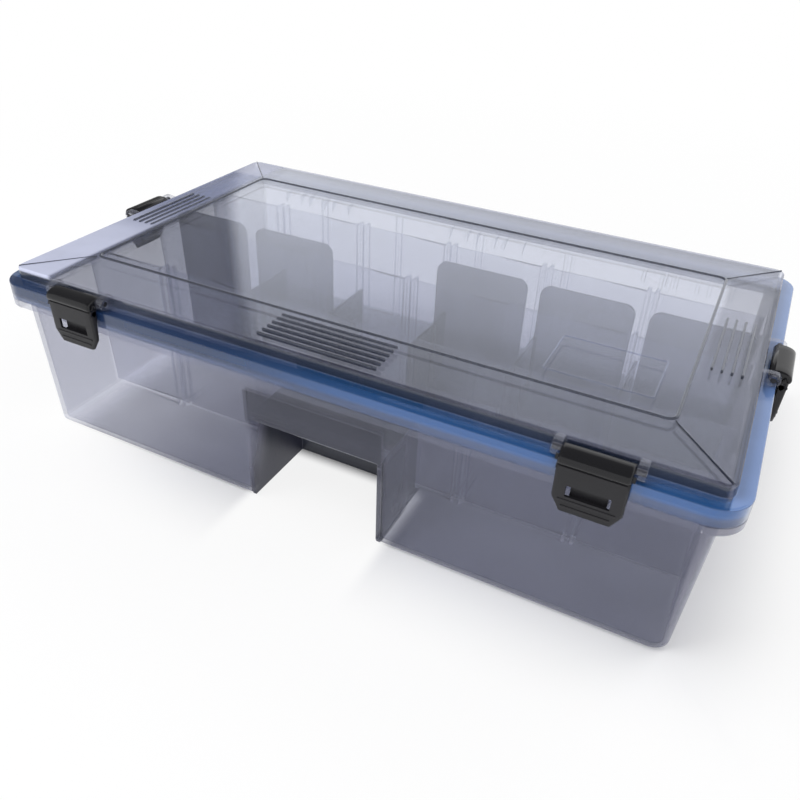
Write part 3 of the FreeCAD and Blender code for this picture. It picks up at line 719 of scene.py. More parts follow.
def smooth_line(points: Array, steps: int) -> Array:
    """Lead a Catmull-Rom curve through points.

    Between points b and c, with neighbours a and d, the curve is the cubic that passes through b and c
    with slopes (c - a) / 2 and (d - b) / 2.

    Args:
        points: Points in order, one per row.
        steps: Points per span.

    Returns:
        Points along the curve.
    """
    padded = np.vstack([2 * points[0] - points[1], points, 2 * points[-1] - points[-2]])
    a, b, c, d = (padded[k : k + len(points) - 1, None] for k in range(4))
    t = np.linspace(0.0, 1.0, steps, endpoint=False)[None, :, None]
    curve = 0.5 * (2 * b + (c - a) * t + (2 * a - 5 * b + 4 * c - d) * t**2 + (3 * b - a - 3 * c + d) * t**3)
    return np.vstack([curve.reshape(-1, points.shape[1]), points[-1:]])


def point_grid(*parts: Array) -> Array:
    """Put the coordinates of a grid of points side by side.

    Args:
        parts: One or more coordinates each, as rows by columns by coordinates; one row or column serves all.

    Returns:
        The points, as rows by columns by three.
    """
    rows, columns = np.broadcast_shapes(*(part.shape[:2] for part in parts))
    return np.concatenate([np.broadcast_to(part, (rows, columns, part.shape[2])) for part in parts], axis=-1)


def closed_grid(points: Array) -> Surface:
    """Join a grid of points that closes both ways.

    Args:
        points: Points, as rows by columns by three.

    Returns:
        The points, one per row, and the faces.
    """
    return points.reshape(-1, 3), grid_faces(*points.shape[:2], True, True).tolist()


def closed_rings(rings: Array) -> Surface:
    """Join rings of points, each to the next, and close the first and the last with one flat face each.

    Args:
        rings: Points in millimetres, as rings by points by three.

    Returns:
        The points, one per row, and the faces.
    """
    count, around = rings.shape[:2]
    faces = grid_faces(count, around, False, True).tolist()
    faces.append(list(range(around)))
    faces.append([(count - 1) * around + k for k in reversed(range(around))])
    return rings.reshape(-1, 3), faces


def swept_ring(section: Array, half_x: float, half_y: float, corner: float, steps: int) -> Surface:
    """Carry a closed section round a rounded rectangle: point(u, v) = path(u) + margin(v) normal(u), height(v).

    Args:
        section: Margin outside the path and height of the section's points.
        half_x: Half the path's length.
        half_y: Half its depth.
        corner: Radius of its corners.
        steps: Points per corner.

    Returns:
        The points, one per row, and the faces.
    """
    paths, normal = rounded_rectangles(np.array([[half_x, half_y]]), np.array([corner]), steps)
    flat = paths[0][:, None, :] + section[None, :, :1] * normal[:, None, :]
    return closed_grid(point_grid(flat, section[None, :, 1:]))


def rounded_bar(outline: Sequence, half: float, rounding: float) -> Surface:
    """Run a rounded outline along x and draw it in at both ends, so that the ends are domed.

    At each end the outline shrinks towards its middle as a quarter circle does.

    Args:
        outline: Corners across the bar, as y and z.
        half: Half its length.
        rounding: Radius of its edges and ends.

    Returns:
        The points, one per row, and the faces.
    """
    ring = rounded_profile(outline, rounding)
    centre = ring.mean(axis=0)
    turn = np.linspace(0.0, math.pi / 2, ROUNDING_STEPS)
    inset, along = rounding * (1 - np.sin(turn)), half - rounding * (1 - np.cos(turn))
    xs = np.concatenate([-along[::-1], along])
    order = np.argsort(xs, kind="stable")
    reach = np.linalg.norm(ring - centre, axis=1).mean()
    scale = 1.0 - np.concatenate([inset[::-1], inset]) / reach
    xs, scale = xs[order], scale[order]
    flat = centre + (ring - centre)[None, :, :] * scale[:, None, None]
    return closed_rings(point_grid(xs[:, None, None], flat))


def eye_block(
    eye: Sequence[float], outline: Sequence, radius: float, bore: float, x_from: float, x_to: float
) -> Surface:
    """A plate with a bored eye: a rounded section turned about the bore's line.

    In the direction t the section reaches out to r(t), the larger of the eye's radius and the distance at
    which the ray from the eye leaves the convex outline.

    Args:
        eye: Middle of the bore, as y and z.
        outline: Corners of the plate in counter-clockwise order, as y and z, with the eye inside or on an edge.
        radius: Outer radius of the eye.
        bore: Radius of the bore.
        x_from: One side of the plate.
        x_to: The other side.

    Returns:
        The points, one per row, and the faces.
    """
    corners, centre = np.array(outline), np.array(eye)
    side = np.roll(corners, -1, axis=0) - corners
    outward = np.stack([side[:, 1], -side[:, 0]], axis=1) / np.linalg.norm(side, axis=1, keepdims=True)
    offset = np.einsum("ij,ij->i", outward, corners - centre)
    angle = np.linspace(0.0, 2 * math.pi, EYE_STEPS, endpoint=False)
    ray = np.stack([np.cos(angle), np.sin(angle)], axis=1)
    slope = ray @ outward.T
    leave = np.where(slope > 1e-6, offset[None, :] / np.maximum(slope, 1e-6), np.inf).min(axis=1)
    reach = np.maximum(radius, leave)
    inset = EYE_EDGE * np.array([1.0, 0.3, 0.0])
    x = np.concatenate([[x_from], x_from + inset[::-1], x_to - inset, [x_to]])
    rim = reach[:, None] - np.concatenate([inset, inset[::-1]])[None, :]
    hole = np.full((len(angle), 1), bore)
    out = np.concatenate([hole, rim, hole], axis=1)
    flat = centre + out[..., None] * ray[:, None, :]
    return closed_grid(point_grid(x[None, :, None], flat))


def both_sides(near: float, far: float) -> tuple[tuple[float, float], tuple[float, float]]:
    """Give a span of x and its mirror image, each from its lower end."""
    return (-far, -near), (near, far)


def facing_front(made: Surface) -> Surface:
    """Turn margins drawn along +y to the front, by mirroring y and the order round each face."""
    points, faces = made
    return points * np.array([1.0, -1.0, 1.0]), [face[::-1] for face in faces]


def joined(parts: Sequence[Surface]) -> Surface:
    """Put several surfaces into one.

    Args:
        parts: Their points and faces.

    Returns:
        All points, one per row, and the faces with their points numbered anew.
    """
    points = np.vstack([p for p, _ in parts])
    starts = np.cumsum([0] + [len(p) for p, _ in parts[:-1]])
    return points, [[int(k) + int(start) for k in f] for (_, faces), start in zip(parts, starts) for f in faces]


@dataclass
class Lid:
    """The clear lid: panel with its bead, sloping border, wall, flange, skirt, channel and what stands on them.

    Lengths are in millimetres; margin is the distance outside the top edge.

    Attributes:
        half_x: Half its length at the top edge.
        half_y: Half its depth there.
        corner: Radius of its corners there.
        top: Height of the top edge.
        wall: Thickness.
        panel: Half length, half depth and corner radius of the raised panel.
        rise: Height of the panel over the edge.
        bead: Width and height of the bead round the panel, and the depth of its root.
        edge: Radius of the top edge.
        softening: Radius of the inner corners, and of the skirt's edges.
        flange: Margin of the flange's edge, its corner radius, its height and its edge radius.
        skirt_foot: Height of the skirt's foot.
        channel: Margin and height of the gasket channel.
        latch_axis: Margin and height of the latch pins.
        ear: Where an ear starts and ends beside the middle of its latch.
        ear_plate: Corners of an ear, as margin and height.
        ear_eye: Radius of its eye and of the bore.
        hinge_axis: Depth and height of the hinge pins.
        hinge_places: Middle of each hinge along x.
        knuckle: Where a knuckle starts and ends beside the middle of its hinge.
        knuckle_plate: Corners of a knuckle, as depth and height.
        knuckle_eye: Radius of its eye and of the bore.
        front_ribs: Number of grip ribs on the front, place of the first, pitch and half length.
        side_ribs: The same at each end.
        rib: Corners across a rib, as place and height.
        rib_soft: Radius of its edges.
        hip: Corners across the ridge at a corner of the border, as place and height.
        hip_ends: How far outside the panel and inside the top edge the ridge ends, and its edge radius.
        label: Middle, half length and half depth of the place for a label.
        label_line: Corners across the line round it, as margin and height.
    """

    half_x: float = 170.0
    half_y: float = 101.1
    corner: float = 5.0
    top: float = 90.0
    wall: float = 2.0
    panel: tuple = (143.75, 72.0, 4.0)
    rise: float = 0.65
    bead: tuple = (1.4, 0.55, 0.25)
    edge: float = 1.1
    softening: tuple = (0.6, 0.35)
    flange: tuple = (6.5, 14.0, 84.0, 0.9)
    skirt_foot: float = 75.5
    channel: tuple = (5.0, 82.3)
    latch_axis: tuple = (4.4, 87.6)
    ear: tuple = (13.45, 17.15)
    ear_plate: tuple = ((-0.8, 83.6), (4.4, 83.6), (4.4, 90.6), (2.4, 90.6), (-0.8, 90.1))
    ear_eye: tuple = (3.0, 1.3)
    hinge_axis: tuple = (112.0, 75.4)
    hinge_places: tuple = (-123.6, 0.0, 123.6)
    knuckle: tuple = (13.85, 23.05)
    knuckle_plate: tuple = ((106.9, 75.5), (112.0, 75.4), (112.0, 78.8), (106.9, 83.0))
    knuckle_eye: tuple = (3.4, 1.25)
    front_ribs: tuple = (6, -76.6, -3.8, 29.2)
    side_ribs: tuple = (4, 150.1, 4.1, 25.9)
    rib: tuple = ((-0.65, 89.4), (0.65, 89.4), (0.55, 91.1), (-0.55, 91.1))
    rib_soft: float = 0.5
    hip: tuple = ((-0.3, 89.3), (0.3, 89.3), (0.3, 90.42), (-0.3, 90.42))
    hip_ends: tuple = (0.2, 1.8, 0.2)
    label: tuple = (110.6, -45.0, 22.6, 15.6)
    label_line: tuple = ((-0.4, 90.3), (0.4, 90.3), (0.4, 90.95), (-0.4, 90.95))

    def build(self) -> list[bpy.types.Object]:
        """Build and dress the lid's pieces, which ride together.

        Returns:
            The pieces.
        """
        clear, fitting, rib = (f.material() for f in (LID_PLASTIC, FITTING_PLASTIC, RIB_SHADED_PLASTIC))
        named = {
            "lid_shell": (self._shell(), clear),
            "lid_ears": (self._ears(), fitting),
            "lid_knuckles": (self._knuckles(), fitting),
            "lid_grip_ribs": (self._ribs(), rib),
            "lid_panel_bead": (self._bead(), rib),
            "lid_label_frame": (self._label(), clear),
            "lid_corner_hips": (self._hips(), rib),
        }
        pieces = []
        for name, ((points, faces), finish) in named.items():
            piece = mesh_object(name, points * MM, faces, finish)
            modify(piece, "face_normals", "WEIGHTED_NORMAL", weight=100)
            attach(piece, "lid")
            pieces.append(piece)
        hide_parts("lid")
        return pieces

    def _shell(self) -> Surface:
        """Lay rounded rectangles of changing size one below another, from the panel's top to its underside.

        Each ring is given by margin, corner radius and height; arcs of the profile are quarter circles. The
        panel falls away towards its bead by a few hundredths of a millimetre.

        Returns:
            The points, one per row, and the faces.
        """
        arc = np.linspace(0.0, math.pi / 2, ARC_STEPS)
        out, back = np.sin(arc), 1.0 - np.cos(arc)
        shift, fall = np.array([-2.5, -0.5, 0.0, 0.5]), np.array([0.0, 0.0, 0.004, 0.016])
        gap_x, gap_y = self.half_x - self.panel[0], self.half_y - self.panel[1]
        high, low = self.top + self.rise, self.top - self.wall
        inner = np.stack([shift - gap_x, shift - gap_y, self.panel[2] + shift, high - fall], axis=1)
        margin, flange_corner, flange_top, soft = self.flange
        fillet, foot = self.softening
        deep, ceiling = self.channel
        hold, wide = self.corner, flange_corner - margin
        parts = [
            (self.edge * (out - 1.0), hold, self.top - self.edge * back),
            (fillet * back, hold, flange_top + fillet * (1.0 - out)),
            (margin - soft + soft * out, wide, flange_top - soft * back),
            (margin - foot * back, wide, self.skirt_foot + foot * (1.0 - out)),
            (deep + foot * (1.0 - out), wide, self.skirt_foot + foot * back),
            (deep - foot * back, wide, ceiling - foot * (1.0 - out)),
            (foot * (1.0 - out), wide, ceiling - foot * back),
            (-foot * back, wide, self.skirt_foot + foot * (1.0 - out)),
            (foot * (1.0 - out) - self.wall, hold, self.skirt_foot + foot * back),
            (-self.wall - fillet * back, hold, low - fillet * (1.0 - out)),
            (np.array([-self.wall - 1.6]), hold, np.array([low])),
        ]
        outer = np.vstack([np.stack([m, m, base + m, z], axis=1) for m, base, z in parts])
        rows = np.vstack([inner, outer])
        size = rows[:, :2] + np.array([self.half_x, self.half_y])
        flat, _ = rounded_rectangles(size, np.maximum(rows[:, 2], 0.3), steps=12)
        return closed_rings(point_grid(flat, rows[:, None, 3:]))

    def _bead(self) -> Surface:
        """Raise the bead round the panel: half an ellipse standing on a short root in the plate.

        Returns:
            The points, one per row, and the faces.
        """
        width, height, root = self.bead
        turn = np.linspace(0.0, math.pi, BEAD_STEPS)
        level = self.top + self.rise
        dome = np.stack([width / 2 * np.cos(turn), level + height * np.sin(turn)], axis=1)
        foot = np.array([[-width / 2, level - root], [width / 2, level - root]])
        return swept_ring(np.vstack([foot, dome]), *self.panel, steps=10)

    def _ears(self) -> Surface:
        """Make two bored ears for each latch.

        Returns:
            The points, one per row, and the faces.
        """
        parts = []
        for side in Side:
            for span in both_sides(*self.ear):
                points, faces = facing_front(eye_block(self.latch_axis, self.ear_plate, *self.ear_eye, *span))
                parts.append((side.place(points) / MM, faces))
        return joined(parts)

    def _knuckles(self) -> Surface:
        """Make two bored knuckles for each hinge.

        Returns:
            The points, one per row, and the faces.
        """
        spans = [(x + a, x + b) for x in self.hinge_places for a, b in both_sides(*self.knuckle)]
        return joined([eye_block(self.hinge_axis, self.knuckle_plate, *self.knuckle_eye, *span) for span in spans])

    def _ribs(self) -> Surface:
        """Raise rows of grip ribs along the front border and along each end.

        Returns:
            The points, one per row, and the faces.
        """
        number, first, pitch, half = self.front_ribs
        parts = [rounded_bar(self._rib(first + pitch * k), half, self.rib_soft) for k in range(number)]
        number, first, pitch, half = self.side_ribs
        for k in range(number):
            points, faces = rounded_bar(self._rib(first + pitch * k), half, self.rib_soft)
            for sign in (-1.0, 1.0):
                turned = points @ np.array([[0.0, sign, 0.0], [-sign, 0.0, 0.0], [0.0, 0.0, 1.0]])
                parts.append((turned, faces))
        return joined(parts)

    def _rib(self, middle: float) -> list[tuple[float, float]]:
        """Set the corners across a rib about its middle."""
        return [(middle + place, height) for place, height in self.rib]

    def _hips(self) -> Surface:
        """Raise the fine ridges where two sides of the sloping border meet.

        Each runs straight from the panel's corner to the lid's, and sinks by the rise on its way.

        Returns:
            The points, one per row, and the faces.
        """
        outside, inside, soft = self.hip_ends
        first = np.array([self.panel[0] + outside, self.panel[1] + outside])
        last = np.array([self.half_x - inside, self.half_y - inside])
        middle, reach = (first + last) / 2, last - first
        length = float(np.hypot(*reach))
        along, across = reach / length, np.array([-reach[1], reach[0]]) / length
        points, faces = rounded_bar(self.hip, length / 2, soft)
        height = points[:, 2] + (self.rise - 0.25) * (0.5 - points[:, 0] / length)
        flat = middle + points[:, :1] * along + points[:, 1:2] * across
        parts = []
        for signs in ((-1.0, -1.0), (-1.0, 1.0), (1.0, -1.0), (1.0, 1.0)):
            turned = [face[::-1] for face in faces] if signs[0] * signs[1] < 0.0 else faces
            parts.append((np.column_stack([flat * np.array(signs), height]), turned))
        return joined(parts)

    def _label(self) -> Surface:
        """Raise the thin line round the place for a label.

        Returns:
            The points, one per row, and the faces.
        """
        x, y, half_x, half_y = self.label
        section = rounded_profile(self.label_line, 0.2)
        points, faces = swept_ring(section, half_x, half_y, corner=1.0, steps=5)
        return points + np.array([x, y, 0.0]), faces


@dataclass
class Softened:
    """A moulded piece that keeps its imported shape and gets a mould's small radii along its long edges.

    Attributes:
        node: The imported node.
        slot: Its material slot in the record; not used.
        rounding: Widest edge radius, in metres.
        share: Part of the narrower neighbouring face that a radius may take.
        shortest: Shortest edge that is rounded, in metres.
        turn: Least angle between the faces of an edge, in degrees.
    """

    node: str
    slot: str
    rounding: float
    share: float = 0.3
    shortest: float = 0.003
    turn: float = 35.0

    def build(self, finish: bpy.types.Material) -> bpy.types.Object:
        """Make the softened copy, which stands for the node.

        Args:
            finish: The material.

        Returns:
            The piece.
        """
        work = bmesh.new()
        work.from_mesh(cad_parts[self.node].data)
        bmesh.ops.remove_doubles(work, verts=work.verts, dist=1e-6)
        mesh = bpy.data.meshes.new(f"{self.node}_moulding")
        work.to_mesh(mesh)
        work.free()
        if "custom_normal" in mesh.attributes:
            mesh.attributes.remove(mesh.attributes["custom_normal"])
        mesh.polygons.foreach_set("use_smooth", np.ones(len(mesh.polygons), bool))
        self._mark(mesh)
        mesh.materials.clear()
        mesh.materials.append(finish)
        mesh.polygons.foreach_set("material_index", np.zeros(len(mesh.polygons), np.int32))
        piece = in_scene(mesh.name, mesh)
        modify(
            piece, "mould_radii", "BEVEL", width=self.rounding, segments=2, limit_method="WEIGHT",
            use_clamp_overlap=False,
        )
        modify(piece, "face_normals", "WEIGHTED_NORMAL", keep_sharp=True, weight=100)
        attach(piece, "tub")
        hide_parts(self.node)
        return piece

    def _mark(self, mesh: bpy.types.Mesh) -> None:
        """Give each long edge the radius that it has room for, and keep the others as sharp as they are.

        The room beside an edge is the height of its triangle, twice the area over the edge's length.

        Args:
            mesh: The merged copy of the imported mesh.
        """
        area = self._read(mesh.polygons, "area")
        normal = self._read(mesh.polygons, "normal", 3)
        owner = np.repeat(np.arange(len(area)), self._read(mesh.polygons, "loop_total", kind=np.int32))
        edge = self._read(mesh.loops, "edge_index", kind=np.int32)
        ends = self._read(mesh.edges, "vertices", 2, np.int32)
        place = self._read(mesh.vertices, "co", 3)
        length = np.linalg.norm(place[ends[:, 0]] - place[ends[:, 1]], axis=1)
        order = np.argsort(edge, kind="stable")
        owner = owner[order]
        first = np.searchsorted(edge[order], np.arange(len(ends)))
        one, two = owner[first], owner[np.minimum(first + 1, len(owner) - 1)]
        cosine = np.clip(np.einsum("ij,ij->i", normal[one], normal[two]), -1.0, 1.0)
        angle = np.degrees(np.arccos(cosine))
        room = 2.0 * np.minimum(area[one], area[two]) / np.maximum(length, 1e-9) * self.share
        long_edge = (angle > self.turn) & (length > self.shortest)
        radius = np.where(long_edge, np.minimum(room, self.rounding), 0.0)
        weight = mesh.attributes.new("bevel_weight_edge", "FLOAT", "EDGE")
        weight.data.foreach_set("value", (radius / self.rounding).astype(np.float32))
        sharp = mesh.attributes.get("sharp_edge") or mesh.attributes.new("sharp_edge", "BOOLEAN", "EDGE")
        sharp.data.foreach_set("value", (angle > self.turn) & ~long_edge)

    def _read(self, items: bpy.types.bpy_prop_collection, name: str, width: int = 1, kind: type = float) -> Array:
        """Read one property of all faces, corners, edges or points of a mesh.

        Args:
            items: What is read.
            name: The property.
            width: How many numbers it has.
            kind: Type of the numbers.

        Returns:
            The numbers, in rows where there is more than one for each.
        """
        values = np.zeros(len(items) * width, kind)
        items.foreach_get(name, values)
        return values.reshape(-1, width) if width > 1 else values


@dataclass
class GasketRing:
    """The soft ring in the lid's channel, with two lips that straddle the tub's tongue.

    Attributes:
        half_x: Half the lid's length at its top edge.
        half_y: Half its depth there.
        corner: Radius of the path there.
        section: Corners of the ring's section as margin outside that path and height.
        rounding: How far from each corner its rounding starts.
    """

    half_x: float = 170.0
    half_y: float = 101.1
    corner: float = 7.5
    section: tuple = (
        (0.2, 79.2), (1.3, 79.15), (1.9, 80.1), (3.1, 80.1), (3.7, 79.15), (4.8, 79.2), (4.8, 81.2), (4.2, 82.2),
        (0.8, 82.2), (0.2, 81.2),
    )
    rounding: float = 0.35

    def build(self, finish: bpy.types.Material) -> bpy.types.Object:
        """Carry the rounded section round the channel.

        Args:
            finish: The material.

        Returns:
            The piece.
        """
        outline = rounded_profile(self.section, self.rounding)
        points, faces = swept_ring(outline, self.half_x, self.half_y, self.corner, steps=14)
        piece = mesh_object("gasket_ring", points * MM, faces, finish)
        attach(piece, "lid")
        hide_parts("gasket")
        return piece


@dataclass
class Latch:
    """One snap latch: a brow that turns on its pin, a flat face with a window, cheeks, grip bars and a hook.

    Lengths are in millimetres; margin is the distance outside the lid's edge.

    Attributes:
        side: Where the latch sits.
        half_width: Half its width.
        corner: Radius where the face turns into the cheeks.
        wall: Thickness of the shell.
        brow: Margin and height of points along the brow, from the lid outwards and down to the face.
        face_top: Margin and height where the flat face starts.
        face_foot: Margin and height of the face's foot.
        face_steps: Heights where the face is parted: below the brow and over the grip bars.
        window: Half width, foot and top of the window.
        trim: Width and height of the cut lower corners.
        cheek_top: Depth of the cheeks at the brow.
        cheek_foot: The same at the foot.
        edge: Width, faces and least turn, in degrees, of the rounded edges.
        stem: Corners across the bar behind the window, as margin and height.
        hook: The same for the hook under the rim.
        works_half: Half the length of stem and hook.
        grips: Half length and height of each grip bar.
        grip: Corners across a grip bar, as margin over the face and height over its middle.
        soft: Edge radius of stem and hook, and of the grip bars.
        axis: Margin and height of the pin.
        barrel: Outer radius, bore radius and edge radius of the barrel, and how much shorter it is per side.
    """

    side: Side
    half_width: float = 13.25
    corner: float = 1.25
    wall: float = 1.1
    brow: tuple = (
        (3.0, 89.4), (4.6, 90.2), (6.7, 90.3), (9.0, 89.8), (10.8, 88.7), (11.5, 87.2), (11.4, 86.0), (10.8, 85.2),
        (10.3, 84.9),
    )
    face_top: tuple = (10.8, 84.5)
    face_foot: tuple = (10.25, 64.2)
    face_steps: tuple = (80.9, 69.8)
    window: tuple = (8.3, 71.4, 76.6)
    trim: tuple = (3.2, 5.4)
    cheek_top: float = 3.6
    cheek_foot: float = 1.2
    edge: tuple = (0.22, 2, 38.0)
    stem: tuple = ((6.9, 70.6), (8.1, 70.6), (8.1, 78.0), (7.5, 79.2), (6.9, 77.4))
    hook: tuple = ((4.9, 70.2), (7.6, 67.6), (9.6, 68.0), (9.6, 71.2), (4.9, 71.65))
    works_half: float = 6.9
    grips: tuple = ((10.8, 69.6), (9.2, 66.7))
    grip: tuple = ((-0.6, -0.7), (0.35, -0.42), (0.35, 0.42), (-0.6, 0.7))
    soft: tuple = (0.3, 0.22)
    axis: tuple = (4.4, 87.6)
    barrel: tuple = (2.45, 1.25, 0.25, 0.1)

    def build(self, finish: bpy.types.Material) -> list[bpy.types.Object]:
        """Build the shell and the works behind it.

        Args:
            finish: The material.

        Returns:
            The pieces.
        """
        pieces = [self._shell(finish), self._works(finish)]
        for piece in pieces:
            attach(piece, f"latch_{self.side.label}")
        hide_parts(f"latch_{self.side.label}")
        return pieces

    def _margin(self, height: Value) -> Value:
        """Margin of the flat face at a height."""
        share = (self.face_top[1] - height) / (self.face_top[1] - self.face_foot[1])
        return self.face_top[0] + share * (self.face_foot[0] - self.face_top[0])

    def _line(self) -> Array:
        """Lead the shell's middle line from the lid over the brow and down the face.

        Returns:
            Points of the line, as margin and height.
        """
        brow = smooth_line(np.array([*self.brow, self.face_top]), 4)
        _, foot, top = self.window
        heights = np.array([self.face_steps[0], top, foot, self.face_steps[1], self.face_foot[1]])
        return np.vstack([brow, np.stack([self._margin(heights), heights], axis=1)])

    def _shell(self, finish: bpy.types.Material) -> bpy.types.Object:
        """Make the outer skin as a sheet that bends back into a cheek at each side, then thicken it.

        Along the sheet runs the line; across it, x goes from cheek to cheek and the depth behind the line
        is r (1 - sin a) round the corner of radius r and grows straight down the cheek.

        Args:
            finish: The material.

        Returns:
            The piece.
        """
        line = self._line()
        ahead = np.gradient(line, axis=0)
        ahead /= np.linalg.norm(ahead, axis=1, keepdims=True)
        inward = np.stack([ahead[:, 1], -ahead[:, 0]], axis=1)
        inward *= np.sign(-inward[:, :1].mean())
        over_foot = line[:, 1] - self.face_foot[1]
        half = self.half_width - self.trim[0] * (1.0 - np.clip(over_foot / self.trim[1], 0.0, 1.0))
        share = np.clip(over_foot / (self.brow[-1][1] - self.face_foot[1]), 0.0, 1.0)
        cheek = self.cheek_foot + (self.cheek_top - self.cheek_foot) * share
        turn = np.linspace(0.0, math.pi / 2, ARC_STEPS)
        r = self.corner
        across = np.concatenate([np.zeros(1), r * (1 - np.cos(turn))])
        depth_share = np.concatenate([np.ones(1), np.zeros(len(turn))])
        depth_fixed = np.concatenate([np.zeros(1), r * (1 - np.sin(turn))])
        x_half = half[:, None] - across[None, :]
        deep = depth_share[None, :] * cheek[:, None] + depth_fixed[None, :]
        left_x = np.concatenate([-x_half, np.full((len(line), 1), -self.window[0])], axis=1)
        left_deep = np.concatenate([deep, np.zeros((len(line), 1))], axis=1)
        x = np.concatenate([left_x, -left_x[:, ::-1]], axis=1)
        deep = np.concatenate([left_deep, left_deep[:, ::-1]], axis=1)
        spot = line[:, None, :] + deep[..., None] * inward[:, None, :]
        points = np.stack([x, -spot[..., 0], spot[..., 1]], axis=-1)
        rows, columns = x.shape
        faces = grid_faces(rows, columns, False, False)
        height = points[..., 2].reshape(-1)[faces].mean(axis=1)
        aside = np.abs(points[..., 0].reshape(-1)[faces]).max(axis=1)
        hole = (height > self.window[1]) & (height < self.window[2]) & (aside < self.window[0] + 0.01)
        piece = mesh_object(
            f"latch_shell_{self.side.label}", self.side.place(points.reshape(-1, 3)), faces[~hole], finish
        )
        width, segments, degrees = self.edge
        modify(piece, "wall", "SOLIDIFY", thickness=self.wall * MM, offset=-1.0)
        modify(
            piece, "edge_rounding", "BEVEL", width=width * MM, segments=segments, limit_method="ANGLE",
            angle_limit=math.radians(degrees), harden_normals=True, use_clamp_overlap=True,
        )
        return piece

    def _works(self, finish: bpy.types.Material) -> bpy.types.Object:
        """Join the barrel round the pin, the stem behind the window, the hook under the rim and the grip bars.

        Args:
            finish: The material.

        Returns:
            The piece.
        """
        coarse, fine = self.soft
        bars = [(self.stem, self.works_half, coarse), (self.hook, self.works_half, coarse)]
        for half, z in self.grips:
            bars.append(([(self._margin(z) + out, z + up) for out, up in self.grip], half, fine))
        parts = [self._barrel(), *(facing_front(rounded_bar(*bar)) for bar in bars)]
        points, faces = joined(parts)
        return mesh_object(f"latch_works_{self.side.label}", self.side.place(points), faces, finish)

    def _barrel(self) -> Surface:
        """Turn the section of a tube about the latch pin's line.

        Returns:
            The points, one per row, and the faces.
        """
        margin, height = self.axis
        outer, bore, soft, shorter = self.barrel
        half = self.half_width - shorter
        left = np.array([[-half, bore], [-half, outer - soft], [-half + soft, outer]])
        section = np.vstack([left, left[::-1] * np.array([-1.0, 1.0])])
        angle = np.linspace(0.0, 2 * math.pi, BARREL_STEPS, endpoint=False)
        ray = np.stack([np.cos(angle), np.sin(angle)], axis=1)
        flat = np.array([-margin, height]) + section[None, :, 1:] * ray[:, None, :]
        return closed_grid(point_grid(section[None, :, :1], flat))


